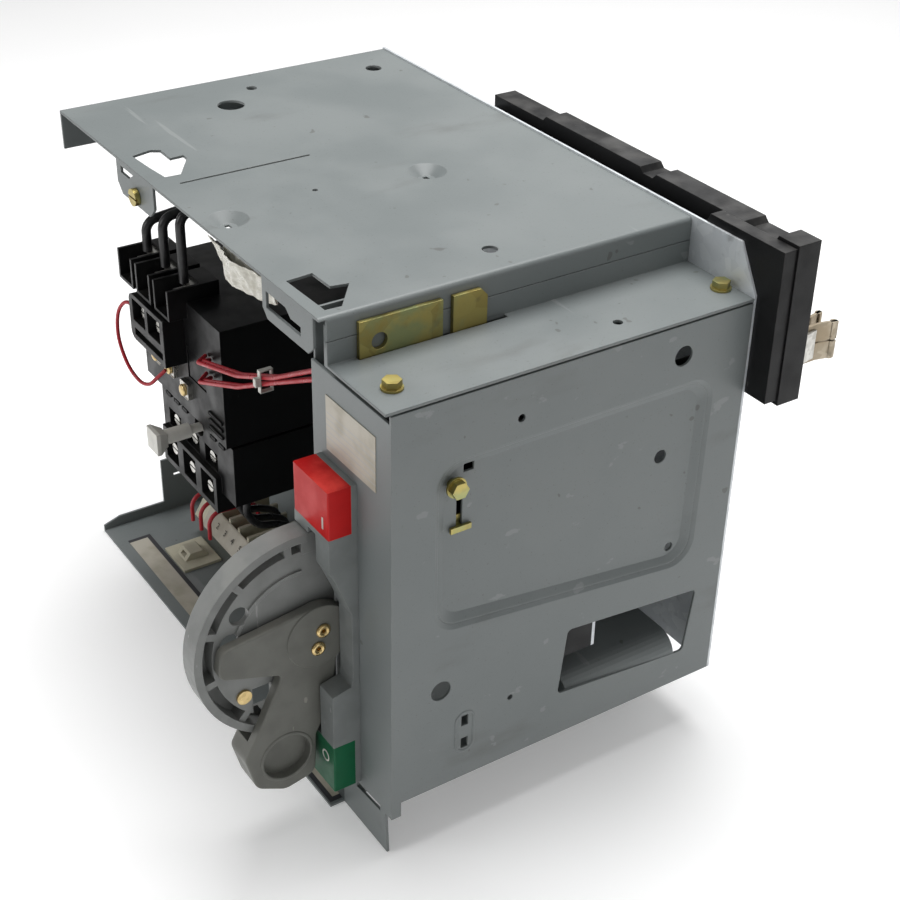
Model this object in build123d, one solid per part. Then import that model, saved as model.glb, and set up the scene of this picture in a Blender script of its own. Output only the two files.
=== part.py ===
"""Plug-in motor-control unit: a sheet-steel chassis with a lever-operated circuit breaker,
a contactor with overload relay, a terminal block and a rear plug-in contact housing.

Millimetres. +X is right seen from the front, +Y is to the back, +Z is up.
The origin is the centre of the chassis width and depth, on the underside of the bottom tray.
"""
from build123d import *
import math
import os

# ---------------------------------------------------------------- driving dimensions
WIDTH = 367.0            # chassis width
DEPTH = 218.0            # chassis depth, front flange to back plate
HEIGHT = 304.8           # tray underside to top plate, a 12 inch unit space
SHEET = 1.5              # steel sheet
TOP_FRONT = -116.0       # front edge of the top plate
TRAY_FRONT = -118.0      # front edge of the tray
TRAY_RIGHT = 133.0       # right end of the tray
LEDGE_TOP = 279.5        # lower step at the right of the top plate
RISER_X = 131.0          # outer face of the step between top plate and ledge
DIVIDER_X = 109.5        # left face of the wall between the two bays
PANEL_LOW = 37.2         # bottom edge of the right side panel
PAN_Y = 35.0             # front face of the starter's mounting pan
LEAD_Y = -5.0            # plane of the power leads, through the breaker's terminals
LEVER_Y = -124.0         # lever axis
LEVER_Z = 127.0
SWING = 140.0            # lever travel, off to on, degrees; further on, the grip would meet the ON cap
CRANK_R = 10.0           # crank pin's distance from the lever axis
PIN_R = 2.5
RUN = 0.06               # radial clearance of a running fit
GAP = 0.4                # clearance beside a sliding face

RIGHT = WIDTH / 2
LEFT = -RIGHT
BACK = DEPTH / 2
FRONT = -BACK
UNDER_TOP = HEIGHT - SHEET
CRANK_REST = (180.0 - SWING) / 2        # crank pin at rest, forward of straight down
STROKE = 2 * CRANK_R * math.cos(math.radians(CRANK_REST))

parts = {}


# ---------------------------------------------------------------- helpers
def block(x, y, z):
    """Box between three (low, high) pairs."""
    size = Box(x[1] - x[0], y[1] - y[0], z[1] - z[0])
    return Pos((x[0] + x[1]) / 2, (y[0] + y[1]) / 2, (z[0] + z[1]) / 2) * size


def rod_x(x, y, z, radius):
    return Pos((x[0] + x[1]) / 2, y, z) * Rot(0, 90, 0) * Cylinder(radius, x[1] - x[0])


def rod_y(x, y, z, radius):
    return Pos(x, (y[0] + y[1]) / 2, z) * Rot(90, 0, 0) * Cylinder(radius, y[1] - y[0])


def rod_z(x, y, z, radius):
    return Pos(x, y, (z[0] + z[1]) / 2) * Cylinder(radius, z[1] - z[0])


def outline(points, radius=0.0):
    """Closed face through points, its corners rounded by one radius or by a list of them."""
    if radius:
        return make_face(FilletPolyline(*points, radius=radius, close=True))
    return make_face(Polyline(*points, close=True))


def slab_x(points, x, radius=0.0):
    """Outline in (Y, Z) filling the space from x[0] to x[1]."""
    return extrude(Plane.YZ.offset(x[0]) * outline(points, radius), x[1] - x[0], dir=(1, 0, 0))


def slab_y(points, y, radius=0.0):
    """Outline in (X, Z) filling the space from y[0] to y[1]."""
    return extrude(Plane.XZ.offset(-y[0]) * outline(points, radius), y[1] - y[0], dir=(0, 1, 0))


def slab_z(points, z, radius=0.0):
    """Outline in (X, Y) filling the space from z[0] to z[1]."""
    return extrude(Plane.XY.offset(z[0]) * outline(points, radius), z[1] - z[0], dir=(0, 0, 1))


def joined(shapes):
    """One node from several pieces."""
    total = shapes[0]
    for shape in shapes[1:]:
        total = total + shape
    return total


def ring_sector(y, z, inner, outer, x, start, stop, steps):
    """Part of a ring about an X axis; angles run from forward (-Y) upwards, in degrees."""
    angles = [math.radians(start + (stop - start) * i / steps) for i in range(steps + 1)]
    rim = [(y - outer * math.cos(a), z + outer * math.sin(a)) for a in angles]
    bore = [(y - inner * math.cos(a), z + inner * math.sin(a)) for a in reversed(angles)]
    return slab_x(rim + bore, x)


def slotted_head(x, y, z, radius, height):
    """Round slotted screw head standing forward from the face at y."""
    head = rod_y(x, (y - height, y), z, radius)
    return head - block((x - radius, x + radius), (y - height, y - height / 2), (z - 0.5, z + 0.5))


def lead(points, radius, bends):
    """Wire of straight runs joined by tangent arcs."""
    path = FilletPolyline(*points, radius=bends) if len(points) > 2 else Polyline(*points)
    return sweep(Plane(origin=path @ 0, z_dir=path % 0) * Circle(radius), path=path)


# ---------------------------------------------------------------- top plate and ledge
DIMPLES = ((8.4, -100.9), (7.0, 22.3))
DIMPLE_DEEP = 4.5
BEND_R = 2.5             # outside radius of the sheet's bend
HEX_FLAT = 4.2           # hexagon head, centre to flat
WASHER_R = 5.6
TOP_HOLES = ((-140.1, -24.3, 8.3), (-160.4, 0.1, 3.4), (-154.1, 84.4, 5.2), (-1.6, -43.8, 1.6),
             (108.5, -4.8, 4.2))
HOOK_LEFT = [(-95.8, -108.4), (-98.9, -96.1), (-95.9, -91.2), (-82.3, -91.5), (-82.7, -83.3), (-77.5, -83.3),
             (-58.3, -96.1), (-58.9, -105.3), (-74.7, -107.0)]
HOOK_RIGHT = [(87.5, -109.6), (86.3, -94.6), (103.1, -94.2), (105.1, -84.7), (124.2, -99.7), (123.7, -108.6)]
LATCH_X = -74.4
LATCH_Z = 290.0
SEAM_Z = 292.0
LEDGE_FRONT = -112.0
LEDGE_BOLTS = ((164.7, -97.0), (165.4, 102.0))
BAR_X = (131.3, 133.8)
BAR_TRAVEL = 12.0


def make_top_plate():
    sheet = (UNDER_TOP, HEIGHT)
    through = (HEIGHT - 7.0, HEIGHT + 1.0)
    plate = block((LEFT, RISER_X), (TOP_FRONT, BACK), sheet)
    plate += block((LEFT, LEFT + SHEET), (TOP_FRONT, BACK), (281.0, UNDER_TOP))
    plate += block((RISER_X - SHEET, RISER_X), (LEDGE_FRONT, BACK), (SEAM_Z, UNDER_TOP))
    plate = fillet(plate.edges().filter_by(Axis.Y).sort_by(lambda edge: edge.center().X
                                                           + edge.center().Z)[-1], BEND_R)
    for x, y, radius in TOP_HOLES:
        plate -= rod_z(x, y, through, radius)
    plate -= block((-47.7, -45.9), (-102.0, -22.0), through)
    for x, y in DIMPLES:
        plate += Pos(x, y, HEIGHT - (DIMPLE_DEEP + 1.2) / 2) * Cone(6.0, 12.4, DIMPLE_DEEP + 1.2)
        plate -= Pos(x, y, HEIGHT - DIMPLE_DEEP / 2) * Cone(4.8, 11.2, DIMPLE_DEEP)
        plate -= block((x - 2.6, x + 2.6), (y - 1.4, y + 1.4), through)
    front = (TOP_FRONT, TOP_FRONT + SHEET)
    plate += slab_y([(-101, 304), (-101, 290), (-95, 284), (-58, 284), (-52, 290), (-52, 304)], front)
    plate += slab_y([(74, 304), (74, 287), (79, 282), (120, 282), (125, 287), (125, 304)], front)
    plate -= slab_z(HOOK_LEFT, through) + slab_z(HOOK_RIGHT, through)
    punch = (TOP_FRONT - 1.0, TOP_FRONT + 3.0)
    plate -= slab_y([(-95, 297), (-95, 301), (-78, 301), (-84, 297)], punch)
    plate -= slab_y([(78, 288), (78, 297), (98, 297), (103, 293), (113, 293), (113, 288)], punch)
    return plate - rod_y(LATCH_X, punch, LATCH_Z, 3.0 + RUN)


def make_ledge_plate():
    plate = block((RISER_X - 2 * SHEET, RIGHT), (LEDGE_FRONT, BACK), (LEDGE_TOP - SHEET, LEDGE_TOP))
    plate += block((RISER_X - 2 * SHEET, RISER_X - SHEET), (LEDGE_FRONT, BACK), (LEDGE_TOP, 300.0))
    plate += block((RISER_X - SHEET, RISER_X), (LEDGE_FRONT, BACK), (LEDGE_TOP, SEAM_Z - GAP))
    through = (LEDGE_TOP - 3.0, LEDGE_TOP + 1.0)
    for x, y in LEDGE_BOLTS:
        plate -= rod_z(x, y, through, 2.6)
    plate -= rod_z(167.3, 33.0, through, 2.6)
    slot = (BAR_X[0] - GAP, BAR_X[1] + GAP)
    return plate - block(slot, (-96.0 - GAP, -23.0 + BAR_TRAVEL + GAP), through)


def make_ledge_bolts():
    bolts = []
    for x, y in LEDGE_BOLTS:
        head = extrude(Pos(x, y, LEDGE_TOP + 1.2) * RegularPolygon(HEX_FLAT, 6, major_radius=False), 3.6)
        washer = rod_z(x, y, (LEDGE_TOP, LEDGE_TOP + 1.2), WASHER_R)
        bolts.append(head + washer + rod_z(x, y, (268.0, LEDGE_TOP), 2.5))
    return joined(bolts)


# ---------------------------------------------------------------- side panel with front flange
PAN_OUTLINE = [(-84.0, 142.0), (-84.0, 242.0), (88.0, 242.0), (86.0, 122.0)]
PAN_DEPTH = 4.0
PANEL_TOP = LEDGE_TOP - SHEET - 1.2     # a dark line shows between the panel and the ledge above it
SIDE_HOLES = ((64.6, 258.8, 5.8), (59.1, 198.3, 4.0), (71.8, 135.5, 2.8), (-35.6, 253.7, 2.2),
              (-34.6, 79.0, 1.7), (-79.1, 103.3, 6.0))
WINDOW = [(2.0, 109.2), (92.7, 100.5), (87.6, 58.6), (-2.5, 66.5)]
ROLL_R = 13.0            # roll of the cable window's lower edge
SHELF_Z = 70.0
SHELF_X = 142.0
SHELF_Y = (5.0, 81.0)
BOLT_AT = (-72.9, 227.1)
TAB_Y = -66.5
TAB_Z = 200.0
TAB_TRAVEL = 18.0
LANE_X = (130.9, 138.7)       # slot in which the lever swings
YOKE_X = (119.0, 121.5)       # thickness of the drive slide


def inset(points, amount):
    """Four-cornered outline moved inwards by amount on every side."""
    middle_y = sum(p[0] for p in points) / len(points)
    middle_z = sum(p[1] for p in points) / len(points)
    return [(y - math.copysign(amount, y - middle_y), z - math.copysign(amount, z - middle_z)) for y,
            z in points]


def pressing(grow, floor_x):
    """Tapered solid of the recessed pan, from the panel's face down to floor_x."""
    face = Plane.YZ.offset(RIGHT) * outline(inset(PAN_OUTLINE, -grow), 15.0)
    floor = Plane.YZ.offset(floor_x) * outline(inset(PAN_OUTLINE, 7.0 - grow), 11.0)
    return loft([face, floor], ruled=True)


def make_window_shelf():
    """Sheet of the cable window's lower edge, rolled inwards into a level shelf with a slot."""
    centre = (RIGHT - ROLL_R, SHELF_Z - ROLL_R)
    turns = [math.radians(90.0 * i / 8) for i in range(9)]
    outer = [(centre[0] + ROLL_R * math.cos(a), centre[1] + ROLL_R * math.sin(a)) for a in turns]
    inner = [(centre[0] + (ROLL_R - SHEET) * math.cos(a), centre[1] + (ROLL_R - SHEET) * math.sin(a))
             for a in turns]
    profile = outer + [(SHELF_X, SHELF_Z), (SHELF_X, SHELF_Z - SHEET)] + list(reversed(inner))
    return slab_y(profile, SHELF_Y) - block((150.0, 154.0), (32.0, 43.0), (SHELF_Z - 3.0, SHELF_Z + 1.0))


def make_side_panel():
    sheet = (RIGHT - SHEET, RIGHT)
    through = (RIGHT - 12.0, RIGHT + 1.0)
    front = (FRONT, FRONT + SHEET)
    panel = block(sheet, (FRONT, BACK), (PANEL_LOW, PANEL_TOP))
    panel += block((158.0, RIGHT - SHEET), (FRONT + SHEET, BACK), (PANEL_TOP - SHEET, PANEL_TOP))
    for x, y in LEDGE_BOLTS:
        panel += rod_z(x, y, (PANEL_TOP, LEDGE_TOP - SHEET), 8.0)
        panel -= rod_z(x, y, (PANEL_TOP - 3.0, LEDGE_TOP), 2.6)
    panel += block(sheet, (FRONT, FRONT + 6.0), (27.5, PANEL_LOW))
    flange = [(DIVIDER_X, 30.0), (TRAY_RIGHT, 30.0), (TRAY_RIGHT, 0.0), (178.7, 0.0), (177.0, 27.5),
              (RIGHT - SHEET, 27.5), (RIGHT - SHEET, 272.4), (DIVIDER_X, 272.4)]
    panel += slab_y(flange, front)
    panel -= slab_y([(147, 23), (147, 27), (172, 29), (172, 25)], (FRONT - 1.0, FRONT + 3.0))
    panel = panel + pressing(1.0, RIGHT - PAN_DEPTH - SHEET) - pressing(0.0, RIGHT - PAN_DEPTH)
    for y, z, radius in SIDE_HOLES:
        panel -= rod_x(through, y, z, radius)
    panel -= slab_x(WINDOW, through, 3.0)
    panel += make_window_shelf()
    panel -= block(through, (TAB_Y - 3.2, TAB_Y + 0.4), (TAB_Z - 2.0, TAB_Z + TAB_TRAVEL + 4.0))
    panel -= block(through, (-66.0, -60.0), (231.0, 236.0))
    panel -= rod_x(through, BOLT_AT[0], BOLT_AT[1], 2.6)
    for z in (60.9, 76.4):
        panel -= block(through, (-65.8, -61.4), (z - 3.5, z + 3.5))
    punch = (FRONT - 1.0, FRONT + 3.0)
    panel -= block(LANE_X, punch, (105.0, 190.0))
    return panel - block((YOKE_X[0] - GAP, YOKE_X[1] + GAP), punch, (110.0, 146.0))


# ---------------------------------------------------------------- inner walls, tray and back
STAB_PITCH = 101.6
STAB_X = [182.0 - STAB_PITCH * i for i in range(3)]
TRAY_HOLES_X = (-150.0, 90.0)
TRAY_HOLES_Y = (60.0, 95.0)
TRAY_HOLE_R = 3.2


def make_divider():
    wall = block((DIVIDER_X, DIVIDER_X + SHEET), (FRONT + SHEET, BACK), (SHEET, 300.0))
    wall -= block((DIVIDER_X - 1.0, DIVIDER_X + 3.0), (LEAD_Y - 9.0, LEAD_Y + 9.0), (42.0, 78.0))
    return wall - block((DIVIDER_X - 1.0, DIVIDER_X + 3.0), (50.0, 104.0), (225.0, 285.0))


def make_bottom_tray():
    tray = block((LEFT, TRAY_RIGHT), (TRAY_FRONT, BACK), (0.0, SHEET))
    tray += slab_x([(-106.0, 1.0), (-118.0, 1.0), (-118.0, 5.0), (-106.0, 9.0), (-72.7, 9.0), (-72.7, 43.0),
                    (BACK, 43.0), (BACK, 1.0)], (LEFT, LEFT + SHEET))
    for z in (38.8, 29.0):
        tray -= block((LEFT - 1.0, LEFT + 3.0), (-64.0, -56.0), (z - 1.2, z + 1.2))
    for x in TRAY_HOLES_X:
        for y in TRAY_HOLES_Y:
            tray -= rod_z(x, y, (-1.0, 3.0), TRAY_HOLE_R)
    return tray


def make_back_plate():
    shape = [(LEFT, 0.0), (LEFT, 306.0), (169.5, 306.0), (RIGHT, 281.0), (RIGHT, PANEL_LOW),
             (TRAY_RIGHT, PANEL_LOW),
             (TRAY_RIGHT, 0.0)]
    plate = slab_y(shape, (BACK, BACK + SHEET))
    for x in STAB_X:
        plate -= block((x - 14.0, min(x + 14.0, RIGHT - 6.0)), (BACK - 1.0, BACK + 3.0), (234.0, 258.0))
    return plate


parts["top_plate"] = make_top_plate()
parts["ledge_plate"] = make_ledge_plate()
parts["ledge_bolts"] = make_ledge_bolts()
parts["side_panel"] = make_side_panel()
parts["divider"] = make_divider()
parts["bottom_tray"] = make_bottom_tray()
parts["back_plate"] = make_back_plate()
parts["starter_pan"] = block((-172.0, DIVIDER_X), (PAN_Y, PAN_Y + SHEET), (SHEET, 222.0))
parts["placard"] = block((123.4, 170.0), (FRONT - 0.4, FRONT), (228.7, 259.5))
parts["tray_label"] = joined([block((-161.0, -62.0), (-110.0, -94.0), (SHEET, SHEET + 0.4)),
                              block((62.0, 131.0), (TRAY_FRONT + 1.0, -109.5), (SHEET, SHEET + 0.4))])

# ---------------------------------------------------------------- operator housing, caps and guard
HOUSE_X = (117.5, 152.0)
HOUSE_FRONT = -125.4
HOUSE_Z = (30.7, 223.5)
OFF_TOP = 61.6
ON_LOW = 195.6
CAP_BACK = -112.4
GUARD_X = (118.0, 131.0)
GUARD_Y = -130.7
GUARD_R = 61.0
WEB_X = (126.5, 129.5)


def make_operator_housing():
    house = block(HOUSE_X, (HOUSE_FRONT, FRONT), HOUSE_Z)
    wide = (HOUSE_X[0] - 1.0, HOUSE_X[1] + 1.0)
    house -= block(wide, (HOUSE_FRONT - 1.0, CAP_BACK), (HOUSE_Z[0] - 1.0, OFF_TOP))
    house -= block(wide, (HOUSE_FRONT - 1.0, CAP_BACK), (ON_LOW, HOUSE_Z[1] + 1.0))
    deep = (HOUSE_FRONT - 1.0, FRONT + 1.0)
    house -= block((HOUSE_X[0] - 1.0, LANE_X[1]), deep, (65.0, 189.0))
    house -= block(LANE_X, deep, (OFF_TOP + 0.4, ON_LOW - 3.2))
    pocket = [(-126.4, 178.5), (-122.4, 170.2), (-116.9, 156.8), (-113.0, 145.8), (-113.0, 103.0),
              (-113.8, 98.9),
              (-126.4, 96.0)]
    return house - slab_x(pocket, (LANE_X[1] - 1.0, HOUSE_X[1] + 1.0))


def make_cap(low, high):
    cap = block(HOUSE_X, (HOUSE_FRONT, CAP_BACK), (low, high))
    wall = 2.5
    inner = ((HOUSE_X[0] + wall, HOUSE_X[1] - wall), (HOUSE_FRONT + wall, CAP_BACK + 1.0),
             (low + wall, high - wall))
    cap -= block(*inner)
    return fillet(cap.edges().filter_by(Axis.Z).sort_by(Axis.Y)[:2], 0.8)


def make_guard():
    rim = ring_sector(GUARD_Y, LEVER_Z, GUARD_R - 4.5, GUARD_R, GUARD_X, -95.0, 95.0, 48)
    guard = rim + ring_sector(GUARD_Y, LEVER_Z, 8.0, 50.5, WEB_X, -95.0, 95.0, 40)
    guard += ring_sector(GUARD_Y, LEVER_Z, 48.0, 50.5, (119.0, WEB_X[1]), -95.0, 95.0, 40)
    guard += ring_sector(GUARD_Y, LEVER_Z, 50.0, 57.0, (119.0, 120.5), -95.0, 24.0, 30)
    guard += ring_sector(GUARD_Y, LEVER_Z, 37.3, 39.7, (WEB_X[1], WEB_X[1] + 1.2), 8.0, 92.0, 24)
    for angle in (50.0, 19.0, -14.0, -50.0, -84.0, 84.0):
        guard += ring_sector(GUARD_Y, LEVER_Z, 49.5, 57.5, (119.5, 129.5), angle - 2.2, angle + 2.2, 2)
    for low, high in ((66.0, 78.0), (176.0, 188.0)):
        guard += block((118.0, 130.4), (-129.0, FRONT), (low, high))
    guard += block(WEB_X, (-131.0, -110.5), (78.0, 176.0))
    guard += rod_x((125.3, 131.0), LEVER_Y, LEVER_Z, 9.0)
    for y, z in ((-165.1, 151.5), (-170.9, 136.8)):
        guard -= rod_x((GUARD_X[0], GUARD_X[1] + 1.0), y, z, 5.3)
    guard -= block((GUARD_X[0], GUARD_X[1] + 1.0), (-160.0, -149.0), (82.0, 102.0))
    guard -= rod_x((WEB_X[0] - 1.0, WEB_X[1] + 1.0), -165.1, 99.6, 2.5)
    return guard - rod_x((GUARD_X[0], GUARD_X[1] + 1.0), LEVER_Y, LEVER_Z, 5.0 + RUN)


parts["operator_housing"] = make_operator_housing()
parts["off_cap"] = make_cap(HOUSE_Z[0], OFF_TOP)
parts["on_cap"] = make_cap(ON_LOW, HOUSE_Z[1])
parts["guard"] = make_guard()
parts["guard_screw"] = rod_x((124.0, 129.5), -165.1, 99.6, 2.4) + rod_x((129.5, 131.0), -165.1, 99.6, 4.2)

# ---------------------------------------------------------------- lever, shaft and crank
LEVER_X = (131.5, 138.0)
HUB_R = 19.0
GRIP_REACH = 70.2        # the thick grip starts outside the guard's rim
GRIP_OUTLINE = [(-159.8, 80.6), (-169.8, 62.0), (-164.0, 40.0), (-147.0, 31.5), (-128.6, 35.5),
                (-127.4, 62.0)]
GRIP_ROUND = [3.0, 6.0, 9.0, 9.0, 7.0, 2.0]
LEVER_OUTLINE = [(-124.0, 146.0), (-179.5, 138.6), (-181.8, 122.0), (-146.3, 110.1), *GRIP_OUTLINE,
                 (-117.5, 81.5), (-113.8, 110.5), (-112.0, 124.0)]
LEVER_ROUND = [1.0, 6.0, 6.0, 2.0, *GRIP_ROUND, 3.0, 2.0, 1.0]
DISH_DEPTH = 5.0
ARM_FACE = 137.2         # face of the arms, a little below the hub's
GRIP_HOLE = (-145.6, 54.8)
RIVETS = ((-122.3, 130.6), (-125.5, 120.2))
FLANGE_R = 11.5
FLANGE_X = (LEVER_X[0], LEVER_X[0] + 2.5)


def make_lever():
    arms = slab_x(LEVER_OUTLINE, (LEVER_X[0], ARM_FACE), LEVER_ROUND)
    arms = fillet(arms.edges().group_by(Axis.X)[-1], 1.2)
    hub = rod_x(LEVER_X, LEVER_Y, LEVER_Z, HUB_R)
    lever = arms + fillet(hub.edges().group_by(Axis.X)[-1], 0.5)
    grip = slab_x(GRIP_OUTLINE, (GUARD_X[0], LEVER_X[0]), GRIP_ROUND)
    grip = fillet(grip.edges().group_by(Axis.X)[0], 2.5)
    lever += grip - rod_x((GUARD_X[0] - 1.0, LEVER_X[0]), LEVER_Y, LEVER_Z, GRIP_REACH)
    lever -= rod_x((ARM_FACE - DISH_DEPTH, LEVER_X[1] + 1.0), GRIP_HOLE[0], GRIP_HOLE[1], 14.0)
    for y, z in RIVETS:
        lever -= rod_x((LEVER_X[0] - 1.0, LEVER_X[1] + 1.0), y, z, 2.3)
    return lever - rod_x((FLANGE_X[0] - 1.0, FLANGE_X[1]), LEVER_Y, LEVER_Z, FLANGE_R + 0.1)


def make_rivets():
    rivets = []
    for y, z in RIVETS:
        rivet = rod_x((FLANGE_X[1], LEVER_X[1]), y, z, 2.2) + rod_x((LEVER_X[1], LEVER_X[1] + 1.0), y, z, 4.0)
        rivets.append(rivet - rod_x((FLANGE_X[1] + 1.0, LEVER_X[1] + 2.0), y, z, 1.3))
    return joined(rivets)


def pin_place(angle, radius):
    """Place at an angle forward of straight down about the lever axis."""
    turn = math.radians(angle)
    return LEVER_Y - radius * math.sin(turn), LEVER_Z - radius * math.cos(turn)


parts["lever"] = make_lever()
parts["lever_rivets"] = make_rivets()
parts["lever_shaft"] = rod_x((125.0, FLANGE_X[0]), LEVER_Y, LEVER_Z, 5.0) + rod_x(FLANGE_X, LEVER_Y,
                                                                                  LEVER_Z, FLANGE_R)
pin_y, pin_z = pin_place(CRANK_REST, CRANK_R)
parts["crank"] = rod_x((122.0, 125.0), LEVER_Y, LEVER_Z, 13.5) + rod_x((118.7, 122.0), pin_y, pin_z, PIN_R)

# ---------------------------------------------------------------- drive slide and its guide
TOGGLE_X = 144.0
TOGGLE_Z = 150.0
TOGGLE_TILT = 20.0       # toggle's angle each side of level
CROSS_Y = (-70.0, -68.0)
TOGGLE_THICK = 7.0
TOGGLE_Y = CROSS_Y[1] - 1.0 + STROKE / 2 / math.tan(math.radians(TOGGLE_TILT))
YOKE_REST_Z = LEVER_Z - STROKE / 2
WINDOW_REST_Z = TOGGLE_Z - STROKE / 2
PIN_SLACK = 1.2          # how far the crank pin's height strays from the slide's even travel


def make_drive_slide():
    slide = block(YOKE_X, (-142.0, -118.5), (YOKE_REST_Z - 8.6, YOKE_REST_Z + 8.6))
    slide += block(YOKE_X, (-119.0, CROSS_Y[1]), (112.0, 124.0))
    slide += block((YOKE_X[0], 153.0), CROSS_Y, (112.0, WINDOW_REST_Z + 9.5))
    half = PIN_R + PIN_SLACK + GAP
    slide -= block((YOKE_X[0] - 1.0, YOKE_X[1] + 1.0), (-138.0, -122.6),
                   (YOKE_REST_Z - half, YOKE_REST_Z + half))
    half = TOGGLE_THICK / 2 / math.cos(math.radians(TOGGLE_TILT)) + math.tan(math.radians(TOGGLE_TILT)) + 0.6
    hole = ((TOGGLE_X - 4.2, TOGGLE_X + 4.2), (CROSS_Y[0] - 1.0, CROSS_Y[1] + 1.0))
    return slide - block(*hole, (WINDOW_REST_Z - half, WINDOW_REST_Z + half))


def make_slide_guide():
    guide = block((DIVIDER_X + SHEET, 124.5), (-100.0, -86.0), (102.0, 156.0))
    return guide - block((YOKE_X[0] - GAP, YOKE_X[1] + GAP), (-101.0, -85.0), (110.0, 146.0))


parts["drive_slide"] = make_drive_slide()
parts["slide_guide"] = make_slide_guide()

# ---------------------------------------------------------------- circuit breaker
BREAKER_X = (112.0, 176.0)
BREAKER_Z = (84.0, 228.0)
COVER_Y = (-52.0, -36.0)
CASE_BACK = 25.0
POLES = [TOGGLE_X + 20.0 * (i - 1) for i in range(3)]
TRIP_AT = (162.0, 180.0)
SOCKET = 16.0            # depth of a terminal socket from the end of the case


def make_breaker_case():
    case = block(BREAKER_X, (COVER_Y[1], CASE_BACK), BREAKER_Z)
    case -= block((BREAKER_X[0] + 3.0, BREAKER_X[1] - 3.0), (COVER_Y[1] - 1.0, CASE_BACK - 4.0),
                  (104.0, 208.0))
    for x in POLES:
        for low, high in ((BREAKER_Z[0] - 1.0, BREAKER_Z[0] + SOCKET),
                          (BREAKER_Z[1] - SOCKET, BREAKER_Z[1] + 1.0)):
            case -= block((x - 7.0, x + 7.0), (COVER_Y[1] - 1.0, 6.0), (low, high))
    return case


def make_breaker_cover():
    cover = block(BREAKER_X, COVER_Y, (BREAKER_Z[0] + 18.0, BREAKER_Z[1] - 18.0))
    cover -= block((BREAKER_X[0] + 3.0, BREAKER_X[1] - 3.0), (COVER_Y[0] + 3.0, COVER_Y[1] + 1.0),
                   (106.0, 206.0))
    for side in (TOGGLE_X - 12.0, TOGGLE_X + 8.0):
        cover += block((side, side + 4.0), (COVER_Y[0] + 2.0, COVER_Y[1]), (TOGGLE_Z - 6.0, TOGGLE_Z + 6.0))
    cover -= block((TOGGLE_X - 5.5, TOGGLE_X + 5.5), (COVER_Y[0] - 1.0, COVER_Y[0] + 4.0),
                   (TOGGLE_Z - 18.0, TOGGLE_Z + 18.0))
    cover -= rod_x((TOGGLE_X - 12.5, TOGGLE_X + 12.5), TOGGLE_Y, TOGGLE_Z, 3.0 + RUN)
    return cover - rod_y(TRIP_AT[0], (COVER_Y[0] - 1.0, COVER_Y[0] + 4.0), TRIP_AT[1], 2.5 + RUN)


def make_breaker_toggle():
    toggle = rod_x((TOGGLE_X - 11.5, TOGGLE_X + 11.5), TOGGLE_Y, TOGGLE_Z, 3.0)
    toggle += rod_x((TOGGLE_X - 6.0, TOGGLE_X + 6.0), TOGGLE_Y, TOGGLE_Z, 5.5)
    half = TOGGLE_THICK / 2
    toggle += block((TOGGLE_X - 3.0, TOGGLE_X + 3.0), (TOGGLE_Y - 34.0, TOGGLE_Y),
                    (TOGGLE_Z - half, TOGGLE_Z + half))
    return toggle.rotate(Axis((0, TOGGLE_Y, TOGGLE_Z), (1, 0, 0)), TOGGLE_TILT)


def make_breaker_terminals():
    lugs = []
    for x in POLES:
        for low, high in ((BREAKER_Z[0] + 2.0, BREAKER_Z[0] + 15.0),
                          (BREAKER_Z[1] - 15.0, BREAKER_Z[1] - 2.0)):
            lug = block((x - 6.0, x + 6.0), (-16.0, 6.0), (low, high)) - rod_z(x, -5.0,
                                                                               (low - 1.0, high + 1.0), 4.0)
            lugs.append(lug + rod_y(x, (-22.0, -16.0), (low + high) / 2, 3.5))
    return joined(lugs)


parts["breaker_case"] = make_breaker_case()
parts["breaker_cover"] = make_breaker_cover()
parts["breaker_toggle"] = make_breaker_toggle()
parts["trip_button"] = (rod_y(TRIP_AT[0], (COVER_Y[0] - 5.0, COVER_Y[0] + 4.0), TRIP_AT[1], 2.5)
                        + rod_y(TRIP_AT[0], (COVER_Y[0] + 4.0, COVER_Y[0] + 6.0), TRIP_AT[1], 4.0))
parts["breaker_terminals"] = make_breaker_terminals()
parts["breaker_bracket"] = (block((DIVIDER_X + SHEET, BREAKER_X[1]), (CASE_BACK, CASE_BACK + 2.0),
                                  (BREAKER_Z[0], 232.0))
                            + block((DIVIDER_X + SHEET, DIVIDER_X + 2 * SHEET), (CASE_BACK + 2.0, 44.0),
                                    (BREAKER_Z[0], 220.0)))

# ---------------------------------------------------------------- contactor and overload relay
CON_X = (-162.0, -48.0)
CON_Z = (128.0, 208.0)
CON_Y = (-84.0, -22.0)
CON_POLES = [-154.0 + 26.0 * i for i in range(3)]
AUX_X = (-148.0, -98.0)
AUX_Z = (164.0, 196.0)
AUX_SCREWS_X = (-134.0, -112.0)
TOWER_Y = (-96.0, -62.0)
CLAMP_Y = (-78.0, -74.0)
BUTTON_X = (-96.0, -72.0)
BUTTON_Z = (156.0, 176.0)


def make_contactor_base():
    base = block(CON_X, (CON_Y[1], PAN_Y), CON_Z)
    inner = ((CON_X[0] + 4.0, CON_X[1] - 4.0), (CON_Y[1] - 1.0, PAN_Y - 4.0),
             (CON_Z[0] + 4.0, CON_Z[1] - 4.0))
    return base - block(*inner)


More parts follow.
